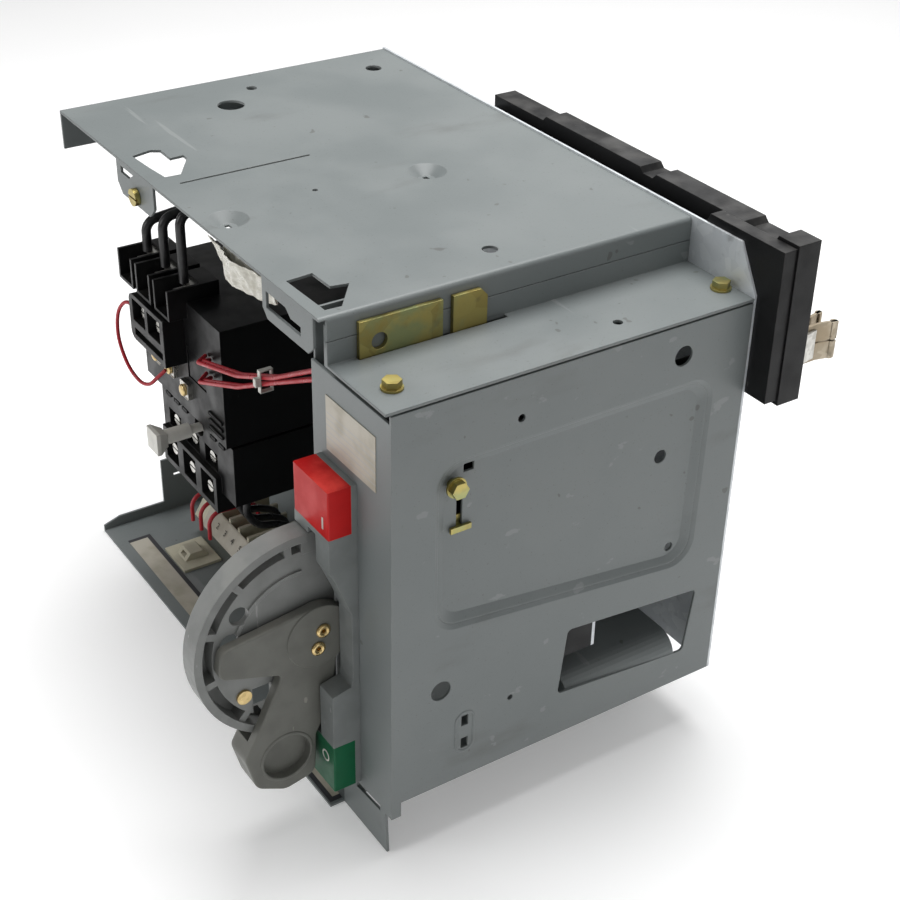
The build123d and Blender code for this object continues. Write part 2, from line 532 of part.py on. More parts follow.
def make_contactor_cover():
    cover = block(CON_X, CON_Y, CON_Z)
    inner = ((CON_X[0] + 4.0, CON_X[1] - 4.0), (CON_Y[0] + 20.0, CON_Y[1] + 1.0),
             (CON_Z[0] + 14.0, CON_Z[1] - 14.0))
    cover -= block(*inner)
    for x in CON_POLES:
        cover += block((x - 10.5, x + 10.5), TOWER_Y, (CON_Z[1] - 10.0, CON_Z[1] + 10.0))
        cover -= block((x - 8.5, x + 8.5), (TOWER_Y[0] - 1.0, CLAMP_Y[1]), (CON_Z[1] - 8.0, CON_Z[1] + 11.0))
    window = ((BUTTON_X[0] - GAP, BUTTON_X[1] + GAP), (CON_Y[0] - 1.0, CON_Y[0] + 21.0),
              (BUTTON_Z[0] - GAP, BUTTON_Z[1] + GAP))
    return cover - block(*window)


def make_contactor_terminals():
    clamps = []
    for x in CON_POLES:
        clamp = block((x - 7.5, x + 7.5), CLAMP_Y, (CON_Z[1] - 7.0, CON_Z[1] + 8.0))
        clamps.append(clamp + slotted_head(x, CLAMP_Y[0], CON_Z[1] + 1.0, 4.6, 8.0))
    return joined(clamps)


def make_aux_block():
    aux = block(AUX_X, (-98.0, CON_Y[0]), AUX_Z)
    aux = fillet(aux.edges().filter_by(Axis.Y).group_by(Axis.X)[0], 6.0)
    for x in AUX_SCREWS_X:
        aux -= block((x - 9.0, x + 9.0), (-99.0, -91.0), (AUX_Z[0] + 14.0, AUX_Z[1] - 3.0))
    return aux - block((AUX_X[0] + 6.0, AUX_X[1] - 3.0), (-99.0, -95.0), (AUX_Z[0] + 4.0, AUX_Z[0] + 9.0))


OVER_X = (-150.0, -48.0)
OVER_Z = (84.0, 126.0)
SKIRT = ((-145.0, -67.0), (-84.0, -50.0), (70.0, 96.0))
OVER_FRONT = -80.0
RESET_X = -95.5
RESET_Z = 118.0
RESET_TRAVEL = 5.0
SPRING_BORE = 6.2
RESET_STEM_END = -56.0
HEATERS = [-132.0 + 26.0 * i for i in range(3)]


def make_overload_relay():
    body = block(OVER_X, (OVER_FRONT, PAN_Y), OVER_Z) + block(*SKIRT)
    body -= block((OVER_X[0] + 4.0, OVER_X[1] - 4.0), (OVER_FRONT + 26.0, PAN_Y - 4.0), (94.0, 111.0))
    for x in HEATERS:
        body -= block((x - 9.0, x + 9.0), (SKIRT[1][0] - 1.0, -74.0), (74.0, 93.0))
        body -= block((x - 9.0, x + 9.0), (SKIRT[1][0] - 1.0, -72.0), (97.0, 110.0))
    body -= rod_y(RESET_X, (OVER_FRONT - 1.0, -64.0), RESET_Z, SPRING_BORE)
    return body - rod_y(RESET_X, (OVER_FRONT, RESET_STEM_END + RESET_TRAVEL + 1.0), RESET_Z, 3.0 + RUN)


def make_reset_button():
    """Square head flaring forward from a round stem."""
    head = block((RESET_X - 7.5, RESET_X + 7.5), (-112.0, -109.5), (RESET_Z - 7.5, RESET_Z + 7.5))
    wide = Plane.XZ.offset(109.5) * Pos(RESET_X, RESET_Z) * Rectangle(15.0, 15.0)
    narrow = Plane.XZ.offset(103.5) * Pos(RESET_X, RESET_Z) * Rectangle(9.0, 9.0)
    stem = rod_y(RESET_X, (-103.5, RESET_STEM_END), RESET_Z, 3.0) + rod_y(RESET_X, (-103.5, -87.0),
                                                                          RESET_Z, 4.8)
    return head + loft([wide, narrow], ruled=True) + stem


parts["contactor_base"] = make_contactor_base()
parts["contactor_cover"] = make_contactor_cover()
parts["contactor_terminals"] = make_contactor_terminals()
parts["contactor_coil"] = (block((-140.0, -70.0), (-12.0, 18.0), (142.0, 194.0))
                           - block((-128.0, -82.0), (-13.0, 19.0), (154.0, 182.0)))
parts["magnet_core"] = (block((-140.0, -70.0), (18.0, PAN_Y - 4.0), (142.0, 194.0))
                        + block((-127.5, -82.5), (-8.0, 18.0), (154.5, 181.5)))
parts["contact_carrier"] = (block(BUTTON_X, (CON_Y[0] + 0.6, -50.0), BUTTON_Z)
                            + block((-150.0, -60.0), (-50.0, -20.0), (156.0, 182.0)))
parts["aux_block"] = make_aux_block()
parts["aux_screws"] = joined([slotted_head(x, -91.0, AUX_Z[1] - 11.0, 4.0, 3.5) for x in AUX_SCREWS_X])
parts["overload_relay"] = make_overload_relay()
parts["overload_screws"] = joined([block((x - 6.0, x + 6.0), (-75.0, -72.0), (99.0, 109.0))
                                   + slotted_head(x, -75.0, 104.0, 4.0, 4.0) for x in HEATERS])
parts["load_terminals"] = joined([block((x - 7.0, x + 7.0), (-78.0, -74.0), (76.0, 90.0))
                                  + slotted_head(x, -78.0, 83.0, 4.0, 4.0) for x in HEATERS])
STRAPS_X = (-128.0, -102.0, -76.0)
parts["pole_straps"] = joined([block((x - 4.0, x + 4.0), (-70.0, -66.0), (OVER_Z[1], CON_Z[0]))
                               for x in STRAPS_X])
parts["reset_button"] = make_reset_button()
coil_path = Helix(2.4, 12.0, 4.6)
spring = sweep(Plane(origin=coil_path @ 0, z_dir=coil_path % 0) * Circle(0.6), path=coil_path)
parts["reset_spring"] = Pos(RESET_X, -65.2, RESET_Z) * Rot(90, 0, 0) * spring

# ---------------------------------------------------------------- terminal block, tie mount and small wiring
TERM_X = (-150.0, -46.0)
TERM_COUNT = 8
TERM_PITCH = (TERM_X[1] - TERM_X[0]) / TERM_COUNT
TERM_MIDDLES = [TERM_X[0] + TERM_PITCH * (i + 0.5) for i in range(TERM_COUNT)]


def make_terminal_block():
    body = block(TERM_X, (-56.0, -20.0), (SHEET, 18.0))
    for i in range(TERM_COUNT + 1):
        x = TERM_X[0] + TERM_PITCH * i
        body += block((max(TERM_X[0], x - 1.2), min(TERM_X[1], x + 1.2)), (-56.0, -20.0), (18.0, 30.0))
    return body + slab_x([(-64.0, 14.0), (-56.0, 27.0), (-56.0, 14.0)], TERM_X)


def make_terminal_screws():
    screws = []
    for x in TERM_MIDDLES:
        for y in (-48.0, -28.0):
            screws.append(rod_z(x, y, (18.0, 22.0), 3.3) - block((x - 4.0, x + 4.0), (y - 0.5, y + 0.5),
                                                                 (20.5, 23.0)))
    return joined(screws)


def make_tie_mount():
    mount = block((-138.0, -107.0), (-93.0, -66.0), (SHEET, 3.5))
    mount += slab_x([(-88.0, 3.5), (-84.0, 8.5), (-75.0, 8.5), (-71.0, 3.5)], (-129.0, -116.0))
    return mount - block((-125.5, -119.5), (-94.0, -65.0), (4.5, 7.0))


parts["terminal_block"] = make_terminal_block()
parts["marker_strip"] = slab_x([(-64.9, 13.5), (-56.9, 26.5), (-56.0, 27.0), (-64.0, 14.0)], (-137.0, -60.0))
parts["terminal_screws"] = make_terminal_screws()
parts["tie_mount"] = make_tie_mount()


def make_line_lead(i):
    """Lead from a breaker pole's lower terminal, left through the divider, up and over to a contactor clamp."""
    top, low = 244.0 + 12.0 * i, 50.0 + 10.0 * i
    riser = 84.0 + 8.0 * i
    clamp, pole = CON_POLES[i], POLES[2 - i]
    points = [(clamp, -80.0, 216.5), (clamp, -80.0, top - 8.0), (clamp, LEAD_Y, top), (riser, LEAD_Y, top),
              (riser, LEAD_Y, low), (pole, LEAD_Y, low), (pole, LEAD_Y, 87.0)]
    return lead(points, 3.0, [8.0, 12.0, 12.0, 12.0, 9.0])


def make_red_lead(i):
    """Control lead from the contactor's coil side to the divider; two leave high and two low, and a tie gathers them."""
    low = 12.0 if i > 1 else 0.0
    y = -97.0 + 3.4 * (i % 2)
    points = [(-67.0 + 6.0 * (i % 2), CON_Y[0] - 1.2, 184.0 - low), (-52.0, y, 190.0 - 1.1 * low),
              (0.0, y, 206.0 - 0.6 * low),
              (44.0, y, 226.0 - 0.25 * low), (106.0, y, 262.0 - 0.5 * low)]
    return lead(points, 1.2, [7.0, 60.0, 60.0])


parts["line_leads"] = joined([make_line_lead(i) for i in range(3)])
parts["red_leads"] = joined([make_red_lead(i) for i in range(4)])
parts["loop_leads"] = joined([lead([(x, -38.0, 23.0), (x, -38.0, 42.0), (x, -74.0, 44.0),
                                    (x, -74.0, 24.0)], 1.4, [9.0, 9.0])
                              for x in TERM_MIDDLES[1:4]])
tie_x = (30.0, 33.0)
parts["cable_tie"] = (block(tie_x, (-99.2, -91.2), (211.5, 225.2))
                      - block((29.0, 34.0), (-98.5, -91.9), (212.2, 224.5))
                      + block(tie_x, (-102.0, -99.2), (216.0, 221.0)))
SLEEVE = [(-25.0, -98.0), (8.0, -106.0), (41.0, -99.0), (39.0, -90.0), (6.0, -96.0), (-22.0, -90.0)]
parts["plastic_sleeve"] = slab_z(SLEEVE, (262.0, 284.0))

# ---------------------------------------------------------------- plug-in contact housing at the back
STAB_LEFT = -67.0
STAB_RIGHT = 200.0
BASE_Y = (BACK + SHEET, 119.0)
STAB_BACK = 134.0
JAW_BACK = 168.0
JAW_Z = (231.0, 254.0)
FINGER = 10.5            # height of one contact finger


def make_stab_base():
    shape = [(STAB_LEFT, 224.0), (STAB_LEFT, 300.0), (138.0, 300.0), (143.0, 311.0), (199.0, 311.0),
             (199.0, 224.0)]
    base = slab_y(shape, BASE_Y)
    for x in STAB_X:
        base -= block((x - 12.0, min(x + 12.0, RIGHT - 7.0)), (BASE_Y[0] - 1.0, BASE_Y[1] + 1.0),
                      (236.0, 256.0))
    return base


def make_stab_cover():
    shape = [(STAB_LEFT, 308.0), (-17.0, 308.0), (-14.0, 311.0), (74.0, 311.0), (77.0, 308.0),
             (85.0, 308.0), (88.0, 311.0),
             (159.0, 311.0), (162.0, 308.0), (182.0, 308.0), (185.0, 313.0), (STAB_RIGHT, 313.0),
             (STAB_RIGHT, 221.0),
             (STAB_LEFT, 221.0)]
    cover = slab_y(shape, (BASE_Y[1], STAB_BACK))
    for x in STAB_X:
        cover -= block((x - 13.0, x + 13.0), (BASE_Y[1] - 1.0, STAB_BACK - 3.0),
                       (JAW_Z[0] - 3.0, JAW_Z[1] + 3.0))
        cover -= block((x - 9.0, x + 9.0), (STAB_BACK - 4.0, STAB_BACK + 1.0),
                       (JAW_Z[0] - 1.0, JAW_Z[1] + 1.0))
    return cover


def make_jaw(x, side):
    """One sprung finger pair on one side of a plug-in contact."""
    near = x + side * 3.0
    shape = [(near, 122.0), (near, 158.0), (near + side * 2.6, JAW_BACK), (near + side * 4.4, JAW_BACK),
             (near + side * 1.8, 157.0), (near + side * 1.8, 122.0)]
    return [slab_z(shape, (low, low + FINGER)) for low in (JAW_Z[0] + 0.5, JAW_Z[1] - 0.5 - FINGER)]


def make_jaw_spring(x, side):
    near = x + side * 4.8
    shape = [(near, 138.0), (near, 154.0), (near + side * 1.0, 154.0), (near + side * 2.6, 146.0),
             (near + side * 1.0, 138.0)]
    return slab_z(shape, (JAW_Z[0] + 3.0, JAW_Z[1] - 3.0))


parts["stab_base"] = make_stab_base()
parts["stab_cover"] = make_stab_cover()
parts["stab_jaws"] = joined([joined(make_jaw(x, -1) + make_jaw(x, 1)
                                    + [block((x - 4.8, x + 4.8), (BASE_Y[1] + 0.5, 122.0),
                                             (JAW_Z[0] + 0.5, JAW_Z[1] - 0.5))])
                             for x in STAB_X])
parts["jaw_springs"] = joined([make_jaw_spring(x, side) for x in STAB_X for side in (-1, 1)])
parts["stab_screws"] = joined([rod_y(x, (STAB_BACK, STAB_BACK + 2.5), 288.0, 4.0)
                               - block((x - 5.0, x + 5.0), (STAB_BACK + 1.5, STAB_BACK + 3.0), (287.4, 288.6))
                               for x in (-55.0, 30.0, 130.0, 188.0)])


def make_stab_lead(i):
    """Lead from a plug-in contact, over the breaker to a pole's upper terminal."""
    start, level, y = min(STAB_X[i], 172.0), 246.0 + 10.0 * i, 88.0 - 14.0 * i
    pole = POLES[2 - i]
    if i == 0:
        points = [(start, BACK - 1.0, level), (start, 60.0, level), (pole, 40.0, level),
                  (pole, LEAD_Y, level),
                  (pole, LEAD_Y, 226.0)]
        return lead(points, 3.0, [12.0, 12.0, 9.0])
    points = [(start, BACK - 1.0, 246.0), (start, y, level), (pole, y, level), (pole, LEAD_Y, level),
              (pole, LEAD_Y, 226.0)]
    return lead(points, 3.0, [9.0, 9.0, 9.0])


parts["stab_leads"] = joined([make_stab_lead(i) for i in range(3)])


# ---------------------------------------------------------------- interlock bar, stop bolt, defeater and latch
BAR_LOW = 266.0
bar = block(BAR_X, (-96.0, -23.0), (BAR_LOW, 274.0)) + block(BAR_X, (-96.0, -49.0), (274.0, 299.0))
bar += slab_x([(-43.0, 274.0), (-43.0, 299.0), (-26.6, 299.0), (-23.0, 295.0), (-23.0, 274.0)], BAR_X)
parts["interlock_bar"] = bar - rod_x((BAR_X[0] - 1.0, BAR_X[1] + 1.0), -84.9, 286.7, 4.4)
hexagon = Plane.YZ.offset(RIGHT + 1.2) * Pos(BOLT_AT[0], BOLT_AT[1]) * RegularPolygon(HEX_FLAT, 6,
                                                                                      major_radius=False)
parts["stop_bolt"] = (extrude(hexagon, 3.6, dir=(1, 0, 0)) + rod_x((RIGHT, RIGHT + 1.2), BOLT_AT[0],
                                                                   BOLT_AT[1], WASHER_R)
                      + rod_x((174.0, RIGHT), BOLT_AT[0], BOLT_AT[1], 2.5))
parts["defeater_slide"] = (block((176.4, 177.6), (TAB_Y - 2.8, TAB_Y + 6.0), (TAB_Z - 12.0, TAB_Z + 6.0))
                           + block((177.6, 180.4), (TAB_Y - 2.8, TAB_Y), (TAB_Z - 1.0, TAB_Z + 1.0))
                           + block((180.2, 181.8), (TAB_Y - 7.4, TAB_Y + 4.6), (TAB_Z - 1.6, TAB_Z + 1.6)))
parts["latch_screw"] = (rod_y(LATCH_X, (TOP_FRONT - 0.2, TOP_FRONT + 8.0), LATCH_Z, 3.0)
                        + slotted_head(LATCH_X, TOP_FRONT - 0.2, LATCH_Z, 5.0, 3.0)
                        + block((LATCH_X - 7.0, LATCH_X + 7.0), (TOP_FRONT + 4.0, TOP_FRONT + 6.0),
                                (LATCH_Z - 2.0, LATCH_Z + 2.0)))

# ---------------------------------------------------------------- write one STEP file per piece
os.makedirs("parts", exist_ok=True)
for node, shape in parts.items():
    export_step(shape, f"parts/{node}.step")
    print(node, round(shape.volume), len(shape.solids()))
print("swing", round(SWING, 3), "stroke", round(STROKE, 4), "toggle", round(TOGGLE_Y, 3), TOGGLE_Z,
      "nodes", len(parts))
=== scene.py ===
import math

import bpy
import numpy as np
from mathutils import Matrix, Vector


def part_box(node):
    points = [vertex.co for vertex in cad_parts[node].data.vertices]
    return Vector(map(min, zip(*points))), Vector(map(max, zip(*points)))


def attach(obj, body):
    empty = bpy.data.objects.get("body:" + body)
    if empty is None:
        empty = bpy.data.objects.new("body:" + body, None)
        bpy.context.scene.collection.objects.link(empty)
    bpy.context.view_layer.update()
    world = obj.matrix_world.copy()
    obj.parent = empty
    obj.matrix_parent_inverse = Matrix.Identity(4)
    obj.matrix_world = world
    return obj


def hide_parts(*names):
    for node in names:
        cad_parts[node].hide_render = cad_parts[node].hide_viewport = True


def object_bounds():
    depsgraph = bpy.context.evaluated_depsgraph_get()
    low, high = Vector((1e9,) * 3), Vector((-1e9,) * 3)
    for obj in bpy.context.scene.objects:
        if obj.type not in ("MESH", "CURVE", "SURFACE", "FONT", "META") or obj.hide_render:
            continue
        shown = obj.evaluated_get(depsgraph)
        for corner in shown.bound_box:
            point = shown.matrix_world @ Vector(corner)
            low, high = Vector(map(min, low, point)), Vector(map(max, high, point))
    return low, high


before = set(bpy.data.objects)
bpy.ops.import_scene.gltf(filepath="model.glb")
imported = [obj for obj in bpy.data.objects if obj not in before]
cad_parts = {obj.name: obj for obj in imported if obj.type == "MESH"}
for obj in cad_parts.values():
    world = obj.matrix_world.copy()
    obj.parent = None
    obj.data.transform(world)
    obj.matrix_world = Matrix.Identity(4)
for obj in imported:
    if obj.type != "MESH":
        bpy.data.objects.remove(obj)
cadLow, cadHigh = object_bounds()

# camera and lights, and the values of the floor that is made last
cameraSet = {  # metres, degrees and millimetres
    "place": (0.7232, -0.4389, 0.6575), "azimuth": 56.135, "elevation": 32.135, "roll": 1.23,
    "lens": 65.56, "sensor": 36.0,
}
lightSet = {  # name: place, aim, size and power
    "overhead": ((-0.15, 0.25, 1.5), (0.0, 0.0, 0.2), 1.1, 24.0),
    "right": ((1.6, 0.2, 0.9), (0.1, 0.0, 0.15), 1.0, 2.2),
    "front": ((-0.5, -1.5, 0.8), (0.0, 0.0, 0.15), 1.0, 6.0),
    "behind": ((-0.9, 1.4, 1.0), (0.0, 0.0, 0.15), 1.2, 3.0),
}
worldSet = {"colour": (1.0, 1.0, 1.0, 1.0), "strength": 0.30}
floorSet = {
    "half": 6.0, "cells": 24, "colour": (0.90, 0.90, 0.90), "patch": 0.98, "patchScale": 3.0,
    "rough": 0.7, "specular": 0.2, "glow": (1.0, 1.0, 1.0, 1.0), "lift": 0.22,
}


def makeCamera():
    turn, lift, roll = (math.radians(cameraSet[k]) for k in ("azimuth", "elevation", "roll"))
    back = Vector((math.sin(turn) * math.cos(lift), -math.cos(turn) * math.cos(lift), math.sin(lift)))
    right = Vector((0, 0, 1)).cross(back).normalized()
    up = back.cross(right)
    rolledRight = math.cos(roll) * right + math.sin(roll) * up
    rolledUp = math.cos(roll) * up - math.sin(roll) * right
    data = bpy.data.cameras.new("viewCamera")
    data.lens = cameraSet["lens"]
    data.sensor_width = cameraSet["sensor"]
    camera = bpy.data.objects.new("viewCamera", data)
    bpy.context.scene.collection.objects.link(camera)
    axes = Matrix((rolledRight, rolledUp, back)).transposed()
    camera.matrix_world = Matrix.Translation(cameraSet["place"]) @ axes.to_4x4()
    bpy.context.scene.camera = camera


def makeLights():
    for name, (place, aim, size, power) in lightSet.items():
        data = bpy.data.lights.new(name, "AREA")
        data.shape = "DISK"
        data.size = size
        data.energy = power
        lamp = bpy.data.objects.new(name, data)
        lamp.location = place
        lamp.rotation_euler = (Vector(aim) - Vector(place)).to_track_quat("-Z", "Y").to_euler()
        bpy.context.scene.collection.objects.link(lamp)
    world = bpy.data.worlds.new("studio")
    world.use_nodes = True
    sky = world.node_tree.nodes["Background"]
    sky.inputs["Color"].default_value = worldSet["colour"]
    sky.inputs["Strength"].default_value = worldSet["strength"]
    bpy.context.scene.world = world
    bpy.context.scene.view_settings.view_transform = "Standard"


makeCamera()
makeLights()
print("camera and lights made")


# material building blocks
def startMaterial(name, metallic=0.0, specular=0.5):
    material = bpy.data.materials.new(name)
    material.use_nodes = True
    tree = material.node_tree
    shader = tree.nodes["Principled BSDF"]
    shader.inputs["Metallic"].default_value = metallic
    shader.inputs["Specular IOR Level"].default_value = specular
    coords = tree.nodes.new("ShaderNodeTexCoord").outputs["Object"]
    return material, tree, shader, coords


def addNoise(tree, coords, scale, detail=4.0, stretch=(1.0, 1.0, 1.0), shift=(0.0, 0.0, 0.0)):
    mapping = tree.nodes.new("ShaderNodeMapping")
    mapping.inputs["Scale"].default_value = stretch
    mapping.inputs["Location"].default_value = shift
    noise = tree.nodes.new("ShaderNodeTexNoise")
    noise.inputs["Scale"].default_value = scale
    noise.inputs["Detail"].default_value = detail
    tree.links.new(coords, mapping.inputs["Vector"])
    tree.links.new(mapping.outputs["Vector"], noise.inputs["Vector"])
    return noise.outputs[0]


def addCells(tree, coords, scale):
    cells = tree.nodes.new("ShaderNodeTexVoronoi")
    cells.inputs["Scale"].default_value = scale
    tree.links.new(coords, cells.inputs["Vector"])
    return cells.outputs["Color"]


def addRange(tree, value, low, high, toLow=0.0, toHigh=1.0):
    # an eased ramp from toLow where the value is low to toHigh where it is high
    part = tree.nodes.new("ShaderNodeMapRange")
    part.interpolation_type = "SMOOTHSTEP"
    for name, number in (("From Min", low), ("From Max", high), ("To Min", toLow), ("To Max", toHigh)):
        part.inputs[name].default_value = number
    tree.links.new(value, part.inputs["Value"])
    return part.outputs["Result"]


def addProduct(tree, first, second):
    part = tree.nodes.new("ShaderNodeMath")
    part.operation = "MULTIPLY"
    part.use_clamp = True
    tree.links.new(first, part.inputs[0])
    tree.links.new(second, part.inputs[1])
    return part.outputs["Value"]


def addMix(tree, factor, first, second):
    # the first colour where the factor is 0, the second where it is 1
    part = tree.nodes.new("ShaderNodeMix")
    part.data_type = "RGBA"
    tree.links.new(factor, part.inputs[0])
    for socket, value in ((part.inputs[6], first), (part.inputs[7], second)):
        if isinstance(value, tuple):
            socket.default_value = (*value, 1.0)
        else:
            tree.links.new(value, socket)
    return part.outputs[2]


def addBump(tree, shader, height, distance, strength, under=None):
    # under is a normal that this relief is laid over
    bump = tree.nodes.new("ShaderNodeBump")
    bump.inputs["Strength"].default_value = strength
    bump.inputs["Distance"].default_value = distance
    tree.links.new(height, bump.inputs["Height"])
    if under is not None:
        tree.links.new(under, bump.inputs["Normal"])
    tree.links.new(bump.outputs["Normal"], shader.inputs["Normal"])
    return bump.outputs["Normal"]


edgeSet = {"samples": 4, "lean": (0.97, 0.75)}  # the lean runs from a flat face to a full edge


def addEdges(tree, radius):
    # how far the softened normal leans from the face's own, 0 on flats and 1 on sharp edges
    soft = tree.nodes.new("ShaderNodeBevel")
    soft.samples = edgeSet["samples"]
    soft.inputs["Radius"].default_value = radius
    face = tree.nodes.new("ShaderNodeNewGeometry")
    lean = tree.nodes.new("ShaderNodeVectorMath")
    lean.operation = "DOT_PRODUCT"
    tree.links.new(soft.outputs["Normal"], lean.inputs[0])
    tree.links.new(face.outputs["Normal"], lean.inputs[1])
    return addRange(tree, lean.outputs["Value"], *edgeSet["lean"]), soft.outputs["Normal"]


def addFacing(tree, axis):
    # how far a face looks along one axis of the object, from -1 to 1
    face = tree.nodes.new("ShaderNodeNewGeometry")
    parts = tree.nodes.new("ShaderNodeSeparateXYZ")
    tree.links.new(face.outputs["Normal"], parts.inputs["Vector"])
    return parts.outputs[axis]


def addInside(tree, coords, axis, low, high, blur=0.0002):
    # 1 where one coordinate lies between two places, 0 outside
    parts = tree.nodes.new("ShaderNodeSeparateXYZ")
    tree.links.new(coords, parts.inputs["Vector"])
    rise = addRange(tree, parts.outputs[axis], low - blur, low + blur)
    fall = addRange(tree, parts.outputs[axis], high - blur, high + blur, 1.0, 0.0)
    return addProduct(tree, rise, fall)


# painted sheet steel: slightly pebbled enamel, cloudy, rubbed bright on its edges, with scuffs and dirt
paintSet = {
    "base": (0.160, 0.178, 0.178), "cloud": (0.180, 0.197, 0.196), "dirt": (0.095, 0.097, 0.092),
    "rub": (0.29, 0.305, 0.30), "scuff": (0.235, 0.25, 0.248), "specular": 0.45, "edge": 0.0007,
    "rough": (0.36, 0.52), "cloudScale": 14.0, "speckScale": 900.0, "smearScale": 34.0, "scratchScale": 60.0,
    "spotScale": 120.0, "wearScale": 90.0, "pebbleScale": 700.0, "pebbleDepth": 0.00006,
    "waveScale": 9.0, "waveDepth": 0.0012,
}


def paintedSheet(name):
    material, tree, shader, coords = startMaterial(name, specular=paintSet["specular"])
    clouds = addNoise(tree, coords, paintSet["cloudScale"], 5.0)
    colour = addMix(tree, addRange(tree, clouds, 0.35, 0.65), paintSet["base"], paintSet["cloud"])
    specks = addNoise(tree, coords, paintSet["speckScale"], 2.0)
    colour = addMix(tree, addRange(tree, specks, 0.66, 0.74, 0.0, 0.5), colour, paintSet["dirt"])
    smearScale = paintSet["smearScale"]
    smear = addNoise(tree, coords, smearScale, 6.0, stretch=(1.0, 0.35, 1.0), shift=(0.3, 0.1, 0.0))
    colour = addMix(tree, addRange(tree, smear, 0.60, 0.78, 0.0, 0.45), colour, paintSet["dirt"])
    scratchScale = paintSet["scratchScale"]
    scratch = addNoise(tree, coords, scratchScale, 8.0, stretch=(0.06, 1.0, 1.6), shift=(0.0, 0.7, 0.2))
    colour = addMix(tree, addRange(tree, scratch, 0.675, 0.70, 0.0, 0.65), colour, paintSet["scuff"])
    spots = addNoise(tree, coords, paintSet["spotScale"], 1.0, shift=(0.9, 0.4, 0.1))
    colour = addMix(tree, addRange(tree, spots, 0.765, 0.79, 0.0, 0.7), colour, paintSet["dirt"])
    edges, soft = addEdges(tree, paintSet["edge"])
    patchy = addRange(tree, addNoise(tree, coords, paintSet["wearScale"], 3.0), 0.30, 0.62, 0.25, 0.9)
    colour = addMix(tree, addProduct(tree, edges, patchy), colour, paintSet["rub"])
    tree.links.new(colour, shader.inputs["Base Color"])
    tree.links.new(addRange(tree, clouds, 0.3, 0.7, *paintSet["rough"]), shader.inputs["Roughness"])
    fine = addNoise(tree, coords, paintSet["pebbleScale"], 2.0)
    pebble = addBump(tree, shader, fine, paintSet["pebbleDepth"], 0.5, soft)
    wave = addNoise(tree, coords, paintSet["waveScale"], 2.0)
    addBump(tree, shader, wave, paintSet["waveDepth"], 0.35, pebble)
    return material


# bare plated sheet and hardware: crystals or a yellow chromate film over bright metal
platedSet = {
    "dirt": (0.09, 0.085, 0.075), "edge": 0.0003, "filmScale": 55.0, "dirtScale": 120.0, "glossScale": 45.0,
    "brushScale": 1200.0, "brushDepth": 0.00003,
}


def platedMetal(name, bright, dark, tint=None, cells=160.0, rough=(0.28, 0.5), grime=0.4, metallic=1.0):
    material, tree, shader, coords = startMaterial(name, metallic=metallic)
    # each crystal takes one random shade between bright and dark
    crystals = tree.nodes.new("ShaderNodeSeparateXYZ")
    tree.links.new(addCells(tree, coords, cells), crystals.inputs["Vector"])
    colour = addMix(tree, addRange(tree, crystals.outputs["X"], 0.0, 1.0, 0.0, 0.6), bright, dark)
    if tint:
        film = addNoise(tree, coords, platedSet["filmScale"], 4.0)
        colour = addMix(tree, addRange(tree, film, 0.42, 0.62), colour, tint)
    dirt = addNoise(tree, coords, platedSet["dirtScale"], 6.0, shift=(0.2, 0.6, 0.0))
    colour = addMix(tree, addRange(tree, dirt, 0.55, 0.8, 0.0, grime), colour, platedSet["dirt"])
    tree.links.new(colour, shader.inputs["Base Color"])
    gloss = addNoise(tree, coords, platedSet["glossScale"], 5.0)
    tree.links.new(addRange(tree, gloss, 0.3, 0.7, *rough), shader.inputs["Roughness"])
    soft = addEdges(tree, platedSet["edge"])[1]
    brushed = addNoise(tree, coords, platedSet["brushScale"], 2.0, stretch=(1.0, 0.2, 1.0))
    addBump(tree, shader, brushed, platedSet["brushDepth"], 0.4, soft)
    return material


# moulded plastic and painted castings: fine grain, paler rubbed edges, dust and painted top light on what
# looks up
mouldSet = {
    "specular": 0.24, "edge": 0.0006, "deep": 0.86, "mottleScale": 70.0, "dustAndTopLightScale": 55.0,
    "wearScale": 160.0, "nickScale": 210.0,
}


def moulded(name, base, rub, dustAndTopLight, rough=(0.38, 0.58), grain=1400.0, depth=0.00004, dustAndTopLightShare=0.35):
    material, tree, shader, coords = startMaterial(name, specular=mouldSet["specular"])
    mottle = addNoise(tree, coords, mouldSet["mottleScale"], 5.0)
    deep = tuple(c * mouldSet["deep"] for c in base)
    colour = addMix(tree, addRange(tree, mottle, 0.35, 0.7), base, deep)
    # painted top light mixed with dust: upward faces take the third colour, which on the red and green
    # plastics is a brighter copy of the body standing for light from above
    upward = addRange(tree, addFacing(tree, "Z"), 0.2, 0.95)
    dustAndTopLightNoise = addNoise(tree, coords, mouldSet["dustAndTopLightScale"], 7.0, shift=(0.1, 0.5, 0.8))
    patchy = addRange(tree, dustAndTopLightNoise, 0.40, 0.66, 0.0, dustAndTopLightShare)
    colour = addMix(tree, addProduct(tree, upward, patchy), colour, dustAndTopLight)
    edges, soft = addEdges(tree, mouldSet["edge"])
    handled = addRange(tree, addNoise(tree, coords, mouldSet["wearScale"], 4.0), 0.38, 0.64, 0.1, 0.8)
    colour = addMix(tree, addProduct(tree, edges, handled), colour, rub)
    nickScale = mouldSet["nickScale"]
    nicks = addNoise(tree, coords, nickScale, 2.0, stretch=(1.0, 1.0, 0.3), shift=(0.6, 0.2, 0.4))
    colour = addMix(tree, addRange(tree, nicks, 0.73, 0.76, 0.0, 0.6), colour, rub)
    tree.links.new(colour, shader.inputs["Base Color"])
    tree.links.new(addRange(tree, mottle, 0.3, 0.7, *rough), shader.inputs["Roughness"])
    addBump(tree, shader, addNoise(tree, coords, grain, 2.0), depth, 0.6, soft)
    return material


# wire insulation: glossy, faintly uneven, dulled where it has been handled
insulationSet = {"rough": (0.25, 0.5), "handledScale": 130.0, "grainScale": 420.0, "grainDepth": 0.0001}


